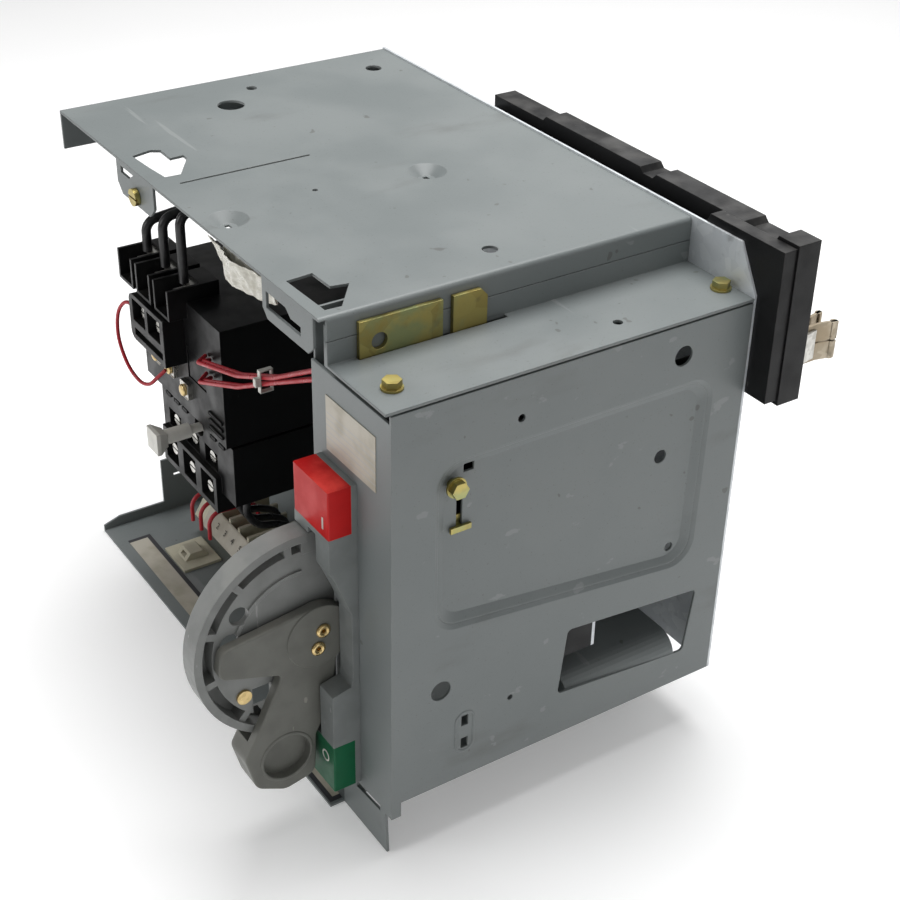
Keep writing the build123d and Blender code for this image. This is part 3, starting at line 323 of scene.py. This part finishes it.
def insulation(name, base, rub):
    material, tree, shader, coords = startMaterial(name)
    handled = addNoise(tree, coords, insulationSet["handledScale"], 5.0)
    colour = addMix(tree, addRange(tree, handled, 0.5, 0.75, 0.0, 0.5), base, rub)
    tree.links.new(colour, shader.inputs["Base Color"])
    tree.links.new(addRange(tree, handled, 0.3, 0.7, *insulationSet["rough"]), shader.inputs["Roughness"])
    grain = addNoise(tree, coords, insulationSet["grainScale"], 2.0)
    addBump(tree, shader, grain, insulationSet["grainDepth"], 0.4)
    return material


# card strips: aged paper, with a dark border or plain ruled lines where they are asked for
cardSet = {
    "paper": (0.49, 0.46, 0.39), "aged": (0.38, 0.35, 0.28), "ink": (0.035, 0.035, 0.04),
    "rule": (0.40, 0.41, 0.42), "specular": 0.4, "rough": (0.4, 0.6), "ageScale": 60.0,
    "fibreScale": 500.0, "fibreDepth": 0.00004,
}


def agedCard(name, border=None, rules=None):
    material, tree, shader, coords = startMaterial(name, specular=cardSet["specular"])
    age = addNoise(tree, coords, cardSet["ageScale"], 6.0)
    colour = addMix(tree, addRange(tree, age, 0.4, 0.72), cardSet["paper"], cardSet["aged"])
    if border:
        low, high, width = border
        insideX = addInside(tree, coords, "X", low[0] + width, high[0] - width)
        insideY = addInside(tree, coords, "Y", low[1] + width, high[1] - width)
        colour = addMix(tree, addProduct(tree, insideX, insideY), cardSet["ink"], colour)
    if rules:
        axis, places, half = rules
        for place in places:
            line = addInside(tree, coords, axis, place - half, place + half)
            colour = addMix(tree, line, colour, cardSet["rule"])
    tree.links.new(colour, shader.inputs["Base Color"])
    tree.links.new(addRange(tree, age, 0.3, 0.7, *cardSet["rough"]), shader.inputs["Roughness"])
    addBump(tree, shader, addNoise(tree, coords, cardSet["fibreScale"], 3.0), cardSet["fibreDepth"], 0.5)
    return material


# milky polythene: lets some light through, with fine creases
polytheneSet = {
    "pale": (0.80, 0.78, 0.70), "deep": (0.58, 0.56, 0.47), "specular": 0.6, "rough": (0.22, 0.42),
    "through": 0.12, "bend": 1.5, "creaseScale": 160.0, "creaseDepth": 0.0006,
}


def clearFilm(name):
    material, tree, shader, coords = startMaterial(name, specular=polytheneSet["specular"])
    crease = addNoise(tree, coords, polytheneSet["creaseScale"], 6.0, stretch=(1.0, 1.0, 2.5))
    colour = addMix(tree, addRange(tree, crease, 0.38, 0.68), polytheneSet["pale"], polytheneSet["deep"])
    tree.links.new(colour, shader.inputs["Base Color"])
    tree.links.new(addRange(tree, crease, 0.3, 0.7, *polytheneSet["rough"]), shader.inputs["Roughness"])
    shader.inputs["Transmission Weight"].default_value = polytheneSet["through"]
    shader.inputs["IOR"].default_value = polytheneSet["bend"]
    addBump(tree, shader, crease, polytheneSet["creaseDepth"], 0.6)
    return material


# six faint rules up the placard, and a dark border round the tray's card
ruleSet = {"first": 0.004, "step": 0.0035, "count": 6, "half": 0.0002, "border": 0.003}
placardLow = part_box("placard")[0]
labelLow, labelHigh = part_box("tray_label")
ruleZ = [placardLow.z + ruleSet["first"] + ruleSet["step"] * i for i in range(ruleSet["count"])]

# plated finishes: bright, dark, film over them, then how they differ from the usual
finishes = {"greyPaint": paintedSheet("greyPaint")}
platedFinish = {
    "galvanised": ((0.70, 0.73, 0.75), (0.55, 0.58, 0.61), None,
                   {"cells": 150.0, "rough": (0.32, 0.5), "metallic": 0.30}),
    "yellowZinc": ((0.46, 0.38, 0.13), (0.30, 0.23, 0.075), (0.32, 0.34, 0.16), {"cells": 70.0}),
    "brightSteel": ((0.66, 0.65, 0.61), (0.42, 0.41, 0.38), None, {"cells": 420.0, "rough": (0.2, 0.42)}),
    "agedCopper": ((0.46, 0.40, 0.31), (0.24, 0.20, 0.14), (0.33, 0.27, 0.19),
                   {"cells": 260.0, "grime": 0.75}),
    "brass": ((0.72, 0.55, 0.27), (0.46, 0.33, 0.14), None, {"cells": 500.0, "rough": (0.22, 0.42)}),
    "copperWinding": ((0.50, 0.21, 0.10), (0.30, 0.11, 0.05), None, {"cells": 300.0}),
    "ironCore": ((0.30, 0.30, 0.31), (0.16, 0.16, 0.17), None, {"cells": 220.0, "rough": (0.4, 0.6)}),
}
for finishName, (bright, dark, film, rest) in platedFinish.items():
    finishes[finishName] = platedMetal(finishName, bright, dark, film, **rest)

# moulded and cast finishes: body, rubbed edge, dust with painted top light, then how they differ from the
# usual
castGrain = {"grain": 800.0, "depth": 0.00008}
mouldedFinish = {
    "castGrey": ((0.225, 0.232, 0.225), (0.38, 0.38, 0.37), (0.30, 0.30, 0.28),
                 {"rough": (0.34, 0.5), **castGrain}),
    "leverGrey": ((0.150, 0.152, 0.136), (0.30, 0.295, 0.26), (0.22, 0.215, 0.19),
                  {"rough": (0.3, 0.48), "dustAndTopLightShare": 0.5, **castGrain}),
    "housingGrey": ((0.20, 0.215, 0.212), (0.32, 0.33, 0.32), (0.28, 0.29, 0.28), {"rough": (0.4, 0.56)}),
    # on the red and green the third colour is a brighter copy of the body, a painted highlight on upward
    # faces rather than dust
    "redPlastic": ((0.52, 0.006, 0.006), (0.72, 0.09, 0.07), (0.80, 0.06, 0.045),
                   {"rough": (0.34, 0.5), "dustAndTopLightShare": 0.7}),
    "greenPlastic": ((0.001, 0.105, 0.040), (0.05, 0.24, 0.13), (0.03, 0.18, 0.10),
                     {"rough": (0.3, 0.46), "dustAndTopLightShare": 0.2}),
    "blackMoulding": ((0.0065, 0.0065, 0.007), (0.05, 0.05, 0.05), (0.04, 0.038, 0.034),
                      {"rough": (0.3, 0.5)}),
    "stabMoulding": ((0.007, 0.007, 0.0075), (0.07, 0.068, 0.065), (0.085, 0.082, 0.078),
                     {"rough": (0.3, 0.5), "grain": 900.0, "depth": 0.00008, "dustAndTopLightShare": 0.45}),
    "creamMoulding": ((0.56, 0.53, 0.41), (0.66, 0.64, 0.54), (0.40, 0.38, 0.31), {"rough": (0.36, 0.55)}),
    "whiteNylon": ((0.70, 0.69, 0.64), (0.76, 0.75, 0.71), (0.5, 0.49, 0.44), {"rough": (0.34, 0.5)}),
}
for finishName, (body, rub, dustAndTopLight, rest) in mouldedFinish.items():
    finishes[finishName] = moulded(finishName, body, rub, dustAndTopLight, **rest)

# cards, film and wires
finishes["placardCard"] = agedCard("placardCard", rules=("Z", ruleZ, ruleSet["half"]))
finishes["trayCard"] = agedCard("trayCard", border=(labelLow, labelHigh, ruleSet["border"]))
finishes["markerCard"] = agedCard("markerCard")
finishes["clearFilm"] = clearFilm("clearFilm")
finishes["redInsulation"] = insulation("redInsulation", (0.42, 0.008, 0.020), (0.44, 0.05, 0.055))
finishes["blackInsulation"] = insulation("blackInsulation", (0.012, 0.012, 0.013), (0.05, 0.05, 0.05))

nodeFinish = {
    "greyPaint": ["top_plate", "ledge_plate", "side_panel", "divider", "bottom_tray", "starter_pan"],
    "galvanised": ["back_plate", "breaker_bracket", "slide_guide", "drive_slide"],
    "yellowZinc": ["ledge_bolts", "interlock_bar", "stop_bolt", "latch_screw", "defeater_slide", "crank"],
    "brightSteel": ["lever_shaft", "contactor_terminals", "aux_screws", "overload_screws", "load_terminals",
                    "terminal_screws", "reset_spring", "jaw_springs", "stab_screws", "breaker_terminals"],
    "agedCopper": ["stab_jaws"],
    "brass": ["lever_rivets", "pole_straps", "guard_screw"],
    "castGrey": ["guard"],
    "leverGrey": ["lever"],
    "housingGrey": ["operator_housing"],
    "redPlastic": ["on_cap", "trip_button"],
    "greenPlastic": ["off_cap"],
    "blackMoulding": ["breaker_case", "breaker_cover", "breaker_toggle", "contactor_base", "contactor_cover",
                      "contact_carrier", "aux_block", "overload_relay"],
    "stabMoulding": ["stab_base", "stab_cover"],
    "creamMoulding": ["terminal_block", "tie_mount"],
    "whiteNylon": ["reset_button", "cable_tie"],
    "placardCard": ["placard"],
    "trayCard": ["tray_label"],
    "markerCard": ["marker_strip"],
    "clearFilm": ["plastic_sleeve"],
    "copperWinding": ["contactor_coil"],
    "ironCore": ["magnet_core"],
    "redInsulation": ["red_leads", "loop_leads"],
    "blackInsulation": ["line_leads", "stab_leads"],
}
# which finish each carried-over node wears
for finishName, nodeNames in nodeFinish.items():
    for nodeName in nodeNames:
        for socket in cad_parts[nodeName].material_slots:
            socket.material = finishes[finishName]
print("finishes made:", len(finishes), "for", sum(len(names) for names in nodeFinish.values()), "nodes")


# helpers for new pieces
def addPiece(name, points, faces, finish, body, slot):
    # points is an array of places, faces a list or array of corner numbers
    mesh = bpy.data.meshes.new(name)
    mesh.from_pydata(np.asarray(points, float).tolist(), [], [list(map(int, f)) for f in faces])
    mesh.validate()
    mesh.materials.append(finishes[finish])
    piece = bpy.data.objects.new(name, mesh)
    bpy.context.scene.collection.objects.link(piece)
    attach(piece, body)
    return piece


def gridFaces(rows, columns, closeRows=False, closeColumns=False):
    # corner numbers of a grid's cells, going round where a direction is closed
    i = np.arange(rows if closeRows else rows - 1)[:, None]
    j = np.arange(columns if closeColumns else columns - 1)[None, :]
    down, over = (i + 1) % rows, (j + 1) % columns
    corners = [i * columns + j, i * columns + over, down * columns + over, down * columns + j]
    return np.stack([np.broadcast_to(c, (i.size, j.size)) for c in corners], -1).reshape(-1, 4)


def smoothed(piece, angle=35.0):
    # rounds the shading over shallow corners only
    piece.data.shade_smooth()
    piece.data.set_sharp_from_angle(angle=math.radians(angle))
    return piece


mm = 0.001  # the sizes of the pieces below are in millimetres, except where a comment says metres


def smoothPath(points, steps=8):
    # a Catmull-Rom curve: each stretch is a cubic blend of four neighbouring points
    p = np.asarray(points, float) * mm
    p = np.vstack([2 * p[0] - p[1], p, 2 * p[-1] - p[-2]])
    t = np.linspace(0.0, 1.0, steps, endpoint=False)[:, None, None]
    a, b, c, d = p[:-3], p[1:-2], p[2:-1], p[3:]
    bend, twist = 2 * a - 5 * b + 4 * c - d, 3 * b - a - 3 * c + d
    curve = 0.5 * (2 * b + (c - a) * t + bend * t**2 + twist * t**3)
    return np.vstack([curve.transpose(1, 0, 2).reshape(-1, 3), p[-2]])


def tube(path, radius, sides=14):
    # a circle carried along the path, square to its direction, and closed by a fan at each end
    along = np.gradient(path, axis=0)
    along /= np.linalg.norm(along, axis=1, keepdims=True)
    side = np.cross(along, (0.13, 0.94, 0.31))  # a direction that no path here runs along
    side /= np.linalg.norm(side, axis=1, keepdims=True)
    over = np.cross(along, side)
    turn = np.linspace(0.0, 2 * np.pi, sides, endpoint=False)[None, :, None]
    ring = path[:, None] + radius * (np.cos(turn) * side[:, None] + np.sin(turn) * over[:, None])
    count = len(path)
    points = np.vstack([ring.reshape(-1, 3), path[:1], path[-1:]])
    first, last = count * sides, (count - 1) * sides
    caps = [(first, (k + 1) % sides, k) for k in range(sides)]
    caps += [(first + 1, last + k, last + (k + 1) % sides) for k in range(sides)]
    return points, gridFaces(count, sides, closeColumns=True).tolist() + caps


def turned(profile, centre, axis, sides=40):
    # a closed profile of (radius, height), running up on its outer side, turned once round an axis
    axis = np.asarray(axis, float)
    first = np.cross(axis, (0.0, 0.0, 1.0) if abs(axis[2]) < 0.5 else (1.0, 0.0, 0.0))
    second = np.cross(axis, first)
    turn = np.linspace(0.0, 2 * np.pi, sides, endpoint=False)[None, :, None]
    radius, height = (np.asarray(profile, float).T * mm)[:, :, None, None]
    spoke = np.cos(turn) * first + np.sin(turn) * second
    points = np.asarray(centre) * mm + height * axis + radius * spoke
    return points.reshape(-1, 3), gridFaces(len(profile), sides, True, True).tolist()


def roundProfile(radius, wide, high, steps=12):
    # an ellipse in (radius, height), run anticlockwise
    turn = np.linspace(0.0, 2 * np.pi, steps, endpoint=False)
    return np.stack([radius + wide * np.cos(turn), high * np.sin(turn)], -1)


headSet = {"rimShare": 0.45, "middle": 0.02, "steps": 7}  # middle is the small radius left at the axis


def headProfile(radius, height):
    # a domed screw head: flat below, a straight rim, then a quarter ellipse in to the middle
    turn = np.linspace(0.0, np.pi / 2, headSet["steps"])
    rim = headSet["rimShare"] * height
    out = np.maximum(radius * np.cos(turn), headSet["middle"])
    dome = np.stack([out, rim + (height - rim) * np.sin(turn)], -1)
    return np.vstack([[(headSet["middle"], 0.0), (radius, 0.0)], dome])


def gathered(parts):
    # several meshes put together as one, their corner numbers carried on
    points, faces, start = [], [], 0
    for some, their in parts:
        points.append(some)
        faces += [[c + start for c in face] for face in their]
        start += len(some)
    return np.vstack(points), faces


slabSet = {"around": 48, "squareness": 0.16}  # a squareness of 1 is an ellipse, near 0 a rectangle


def slabBetween(low, high, edge=0.6, rows=9):
    # a rounded slab: a superellipse in X and Z at each depth, drawn in near the front by a quarter ellipse
    low, high = np.asarray(low) * mm, np.asarray(high) * mm
    around, power = slabSet["around"], slabSet["squareness"]
    turn = np.linspace(0.0, 2 * np.pi, around, endpoint=False)
    cosine, sine = np.cos(turn), np.sin(turn)
    square = np.stack([np.sign(cosine) * np.abs(cosine) ** power, np.sign(sine) * np.abs(sine) ** power], -1)
    half, middle = (high - low) / 2, (high + low) / 2
    ease = np.linspace(0.0, np.pi / 2, rows)
    pull = edge * mm * (1 - np.cos(ease))
    depth = low[1] + edge * mm * (1 - np.sin(ease))
    points = []
    rings = [(high[1], 0.0), *zip(depth[::-1], pull)]
    for y, drawn in rings:
        x, z = middle[0] + (half[0] - drawn) * square[:, 0], middle[2] + (half[2] - drawn) * square[:, 1]
        points.append(np.stack([x, np.full(around, y), z], -1))
    ends = [[middle[0], high[1], middle[2]], [middle[0], low[1], middle[2]]]
    count, last = around * len(rings), around * (len(rings) - 1)
    caps = [(count, i, (i + 1) % around) for i in range(around)]
    caps += [(count + 1, last + (i + 1) % around, last + i) for i in range(around)]
    sides = gridFaces(len(rings), around, closeColumns=True)[:, ::-1].tolist()
    return np.vstack([*points, ends]), sides + caps


# the folded film sleeve that covers spare lead ends under the top plate, in metres
filmSet = {
    "folds": 3, "flat": (0.058, 0.064), "thick": 0.0003, "grid": (70, 64), "skew": 0.003, "setBack": 0.004,
    "stepBack": 0.011, "bow": 0.006, "ripple": 0.0014, "margin": 0.004, "ends": (0.62, 0.38),
    "crumple": 0.0017, "crumpleZ": 0.35, "waves": 14, "roll": 9, "gap": (0.001, 0.0005), "seed": 4,
}


def makeFilmSleeve():
    # along u the sheet follows a shallow bow; along v it zigzags up and down, one stretch for each fold,
    # stepping back a little each time, and seeded sine waves crumple it
    low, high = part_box("plastic_sleeve")
    rows, columns = filmSet["grid"]
    u, v = np.meshgrid(np.linspace(0, 1, rows), np.linspace(0, 1, columns), indexing="ij")
    swing = np.cos(filmSet["folds"] * np.pi * v)
    least, more = filmSet["ends"]
    # the folds are highest left of the middle and lowest at the right end
    taper = least + more * np.sin(np.pi * (0.22 + 0.72 * u)) ** 0.8
    x = low.x + (high.x - low.x) * u + filmSet["skew"] * (v - 0.5) * swing
    y = low.y + filmSet["setBack"] + filmSet["stepBack"] * v + filmSet["bow"] * (2 * u - 0.95) ** 2
    y = y + filmSet["ripple"] * np.sin(9 * u + 4 * v)
    z = (low.z + high.z) / 2 + 0.5 * (high.z - low.z - filmSet["margin"]) * taper * swing
    draw = np.random.default_rng(filmSet["seed"])
    crumple = np.zeros_like(u)
    for wave in range(1, filmSet["waves"] + 1):
        across = draw.uniform(-1, 1) * 4 * wave
        along = draw.uniform(0.3, 1) * 5 * wave
        phase = draw.uniform(0, 6.3)
        crumple += np.abs(np.sin(across * v + along * u + phase)) / wave - 0.5 / wave
    y = y + filmSet["crumple"] * crumple
    z = z + filmSet["crumpleZ"] * filmSet["crumple"] * np.roll(crumple, filmSet["roll"], axis=0)
    gapY, gapZ = filmSet["gap"]
    points = np.stack([x, np.clip(y, low.y + gapY, None), np.clip(z, low.z + gapZ, high.z - gapZ)], -1)
    points, faces = points.reshape(-1, 3), gridFaces(rows, columns)
    film = addPiece("filmSleeve", points, faces, "clearFilm", "chassis", "clear_wrap")
    wall = film.modifiers.new("wall", "SOLIDIFY")
    wall.thickness = filmSet["thick"]
    film.data.shade_smooth()
    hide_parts("plastic_sleeve")


# plain marks on the two caps: a bar on the upper, a ring on the lower
markSet = {
    "bar": (146.5, 203.5), "barHalf": (0.7, 3.4), "barEdge": 0.15, "ring": (143.0, 50.5), "ringRadius": 3.1,
    "wide": 0.55, "raise": 0.22, "sink": 0.1,
}


def makeCapMarks():
    # the bar is a rounded slab and the ring an ellipse turned round an axis through the cap's face
    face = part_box("on_cap")[0].y / mm
    x, z = markSet["bar"]
    halfX, halfZ = markSet["barHalf"]
    front, behind = face - markSet["raise"], face + markSet["sink"]
    bar = slabBetween((x - halfX, front, z - halfZ), (x + halfX, behind, z + halfZ), markSet["barEdge"], 4)
    smoothed(addPiece("onMark", *bar, "whiteNylon", "chassis", "white_card"))
    x, z = markSet["ring"]
    ellipse = roundProfile(markSet["ringRadius"], markSet["wide"], markSet["raise"])
    ring = turned(ellipse, (x, face, z), (0, -1, 0))
    smoothed(addPiece("offMark", *ring, "whiteNylon", "chassis", "white_card"))


# digits along the tilted marker strip, in metres
digitSet = {
    "digits": "1234567", "size": 0.0062, "raise": 0.00008, "inset": 0.007, "strip": 0.0009, "drop": 0.0005,
}


def makeMarkerDigits():
    # flat letters laid along X, their tops following the strip's slope
    low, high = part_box("marker_strip")
    strip = digitSet["strip"]
    slope = Vector((0.0, high.y - strip - low.y, high.z - digitSet["drop"] - low.z)).normalized()
    outward = Vector((1, 0, 0)).cross(slope)
    step = (high.x - low.x - 2 * digitSet["inset"]) / (len(digitSet["digits"]) - 1)
    points, faces = [], []
    for place, digit in enumerate(digitSet["digits"]):
        letter = bpy.data.curves.new("digit", "FONT")
        letter.body = digit
        letter.size = digitSet["size"]
        letter.align_x = "CENTER"
        letter.align_y = "CENTER"
        holder = bpy.data.objects.new("digit", letter)
        mesh = bpy.data.meshes.new_from_object(holder)
        flat = np.empty(len(mesh.vertices) * 3)
        mesh.vertices.foreach_get("co", flat)
        flat = flat.reshape(-1, 3)
        start = sum(len(p) for p in points)
        across = low.x + digitSet["inset"] + step * place
        middle = Vector((across, (low.y + high.y) / 2, (low.z + high.z) / 2))
        middle = np.array(middle + outward * (strip + digitSet["raise"]))
        points.append(middle + flat[:, :1] * np.array((1.0, 0.0, 0.0)) + flat[:, 1:2] * np.array(slope))
        faces += [[c + start for c in polygon.vertices] for polygon in mesh.polygons]
        bpy.data.objects.remove(holder)
        bpy.data.meshes.remove(mesh)
    addPiece("markerDigits", np.vstack(points), faces, "blackMoulding", "chassis", "black_mould")


# pressed oval rim round the two lacing slots of the side panel
lacingSet = {
    "y": -63.6, "z": 68.65, "straight": 7.75, "radius": 5.6, "wide": 0.9, "raise": 0.55, "sink": 0.1,
    "around": 64, "rim": 12,
}


def makeLacingRim():
    # an oval is two half circles pulled apart; the rim is an ellipse carried round it, above the panel's face
    around, rim = lacingSet["around"], lacingSet["rim"]
    turns = np.linspace(0, 2 * np.pi, around, endpoint=False)
    rises = np.linspace(0, 2 * np.pi, rim, endpoint=False)
    turn, rise = np.meshgrid(turns, rises, indexing="ij")
    radius = lacingSet["radius"] + lacingSet["wide"] * np.cos(rise)
    upOrDown = np.sign(np.sin(turn) + 1e-9)  # the small addition gives the two ends a side
    y = lacingSet["y"] + radius * np.cos(turn)
    z = lacingSet["z"] + radius * np.sin(turn) + lacingSet["straight"] * upOrDown
    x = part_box("side_panel")[1].x / mm + lacingSet["raise"] * np.sin(rise) - lacingSet["sink"]
    points = np.stack([x, y, z], -1).reshape(-1, 3) * mm
    faces = gridFaces(around, rim, True, True)[:, ::-1]
    smoothed(addPiece("lacingRim", points, faces, "greyPaint", "chassis", "grey_paint"), 60)


# lip round the thumb dish, and the rolled rims of the two tubular rivets
leverSet = {
    "dish": (-145.6, 54.8), "dishFace": 137.2, "dishRadius": 14.9, "lip": (1.0, 0.55),
    "eyelet": (2.7, 1.15, 0.75), "rivetRadius": 4.0, "around": 64,
}


def makeLeverTrim():
    # each is an ellipse turned round an axis square to the lever's face
    y, z = leverSet["dish"]
    ellipse = roundProfile(leverSet["dishRadius"], *leverSet["lip"])
    lip = turned(ellipse, (leverSet["dishFace"], y, z), (1, 0, 0), leverSet["around"])
    smoothed(addPiece("dishLip", *lip, "leverGrey", "lever_body", "cast_grey"))
    low, high = (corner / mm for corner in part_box("lever_rivets"))
    reach = leverSet["rivetRadius"]
    places = ((high.y - reach, high.z - reach), (low.y + reach, low.z + reach))
    rims = [turned(roundProfile(*leverSet["eyelet"]), (high.x, py, pz), (1, 0, 0)) for py, pz in places]
    smoothed(addPiece("rivetRims", *gathered(rims), "brass", "lever_body", "brass"))


# coil and auxiliary terminals on the contactor's face, with the control loop between them
contactorReach = 62.0  # from the contactor's back to its front face
coilSet = {
    "screws": ((-138.0, 152.0), (-118.0, 152.0), (-98.0, 146.0)), "saddle": 5.6, "proud": 3.2, "sink": 0.2,
    "head": (3.9, 2.6), "wire": 1.2,
    "loop": ((-148, -93, 182), (-156, -97, 184), (-163, -100, 174), (-161, -102, 158), (-150, -102, 144),
             (-138, -100, 137), (-127, -98, 139), (-121, -94, 146), (-118, -90, 151)),
}


def makeCoilTerminals():
    # rounded saddles under domed heads, and a tube along the loop's smooth path
    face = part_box("contactor_base")[0].y / mm - contactorReach
    reach, front, behind = coilSet["saddle"], face - coilSet["proud"], face + coilSet["sink"]
    saddles, heads = [], []
    for x, z in coilSet["screws"]:
        saddles.append(slabBetween((x - reach, front, z - reach), (x + reach, behind, z + reach)))
        heads.append(turned(headProfile(*coilSet["head"]), (x, front, z), (0, -1, 0)))
    smoothed(addPiece("coilSaddles", *gathered(saddles), "brightSteel", "chassis", "plated_steel"))
    smoothed(addPiece("coilScrews", *gathered(heads), "brass", "chassis", "brass"))
    loop = tube(smoothPath(coilSet["loop"]), coilSet["wire"] * mm)
    smoothed(addPiece("controlLoop", *loop, "redInsulation", "chassis", "red_wire"), 60)


# black leads from under the overload relay to the terminal block
loadSet = {
    "x": (-91.5, -79.5, -70.0), "radius": 2.5,  # then how far each point lies right of x, with its Y and Z
    "route": ((0, -62, 71), (0, -62, 60), (1, -55, 50), (2, -42, 46), (2, -32, 39), (1, -28, 22)),
}


def makeLoadLeads():
    # a tube along a smooth S from the relay's underside to a terminal
    leads = []
    for x in loadSet["x"]:
        path = smoothPath([(x + right, y, z) for right, y, z in loadSet["route"]])
        leads.append(tube(path, loadSet["radius"] * mm))
    smoothed(addPiece("loadLeads", *gathered(leads), "blackInsulation", "chassis", "black_wire"), 60)


# moulded ribs on the contactor's and relay's faces: their middles, half sizes and how far the face stands
ribSet = {
    "contactor": ((-60.0, 134.0), (-60.0, 139.0), (-60.0, 144.0)), "contactorHalf": (9.0, 1.1),
    "relay": ((-138.0, 121.5), (-126.0, 121.5), (-114.0, 121.5), (-74.0, 121.5), (-62.0, 121.5)),
    "relayHalf": (3.6, 1.3), "relayBack": 4.0, "proud": 1.3, "sink": 0.2, "edge": 0.5, "rows": 5,
}


def makeMouldedRibs():
    # rounded slabs standing a little proud of the two faces
    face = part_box("contactor_base")[0].y / mm - contactorReach
    ribs = []
    for group, y in (("contactor", face), ("relay", face + ribSet["relayBack"])):
        halfX, halfZ = ribSet[group + "Half"]
        for x, z in ribSet[group]:
            low = (x - halfX, y - ribSet["proud"], z - halfZ)
            high = (x + halfX, y + ribSet["sink"], z + halfZ)
            ribs.append(slabBetween(low, high, ribSet["edge"], ribSet["rows"]))
    smoothed(addPiece("mouldedRibs", *gathered(ribs), "blackMoulding", "chassis", "black_mould"))


# rolled ends of the plug-in contact fingers
fingerSet = {"poles": (182.0, 80.4, -21.2), "radius": 2.1, "inset": 1.6, "back": 2.1, "height": 10.5}


def makeFingerTips():
    # upright tubes at the ends of the fingers, two to each side of each contact
    low, high = (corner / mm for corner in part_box("stab_jaws"))
    half = high.x - fingerSet["poles"][0] - fingerSet["inset"]
    y, height = high.y - fingerSet["back"], fingerSet["height"]
    tips = []
    for x in (pole + side * half for pole in fingerSet["poles"] for side in (-1, 1)):
        for z in (low.z, high.z - height):
            path = smoothPath([(x, y, z), (x, y, z + height / 2), (x, y, z + height)])
            tips.append(tube(path, fingerSet["radius"] * mm))
    smoothed(addPiece("fingerTips", *gathered(tips), "agedCopper", "chassis", "plated_steel"), 60)


makeFilmSleeve()
makeCapMarks()
makeMarkerDigits()
makeLacingRim()
makeLeverTrim()
makeCoilTerminals()
makeLoadLeads()
makeMouldedRibs()
makeFingerTips()
meshes = [o for o in bpy.data.objects if o.type == "MESH"]
print("pieces made:", len(meshes) - len(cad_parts))


# floor
def makeFloor():
    # an even grid, level with the underside of the tray
    half, cells = floorSet["half"], floorSet["cells"]
    x, y = np.meshgrid(np.linspace(-half, half, cells), np.linspace(-half, half, cells), indexing="ij")
    points = np.stack([x, y, np.full_like(x, cadLow.z)], -1).reshape(-1, 3)
    mesh = bpy.data.meshes.new("studioFloor")
    mesh.from_pydata(points.tolist(), [], gridFaces(cells, cells)[:, ::-1].tolist())
    material, tree, shader, coords = startMaterial("paleFloor", specular=floorSet["specular"])
    tone = addRange(tree, addNoise(tree, coords, floorSet["patchScale"]), 0.3, 0.7)
    darker = tuple(floorSet["patch"] * c for c in floorSet["colour"])
    colour = addMix(tree, tone, floorSet["colour"], darker)
    tree.links.new(colour, shader.inputs["Base Color"])
    shader.inputs["Roughness"].default_value = floorSet["rough"]
    shader.inputs["Emission Color"].default_value = floorSet["glow"]
    shader.inputs["Emission Strength"].default_value = floorSet["lift"]
    mesh.materials.append(material)
    floor = bpy.data.objects.new("studioFloor", mesh)
    bpy.context.scene.collection.objects.link(floor)


makeFloor()
print("floor made")
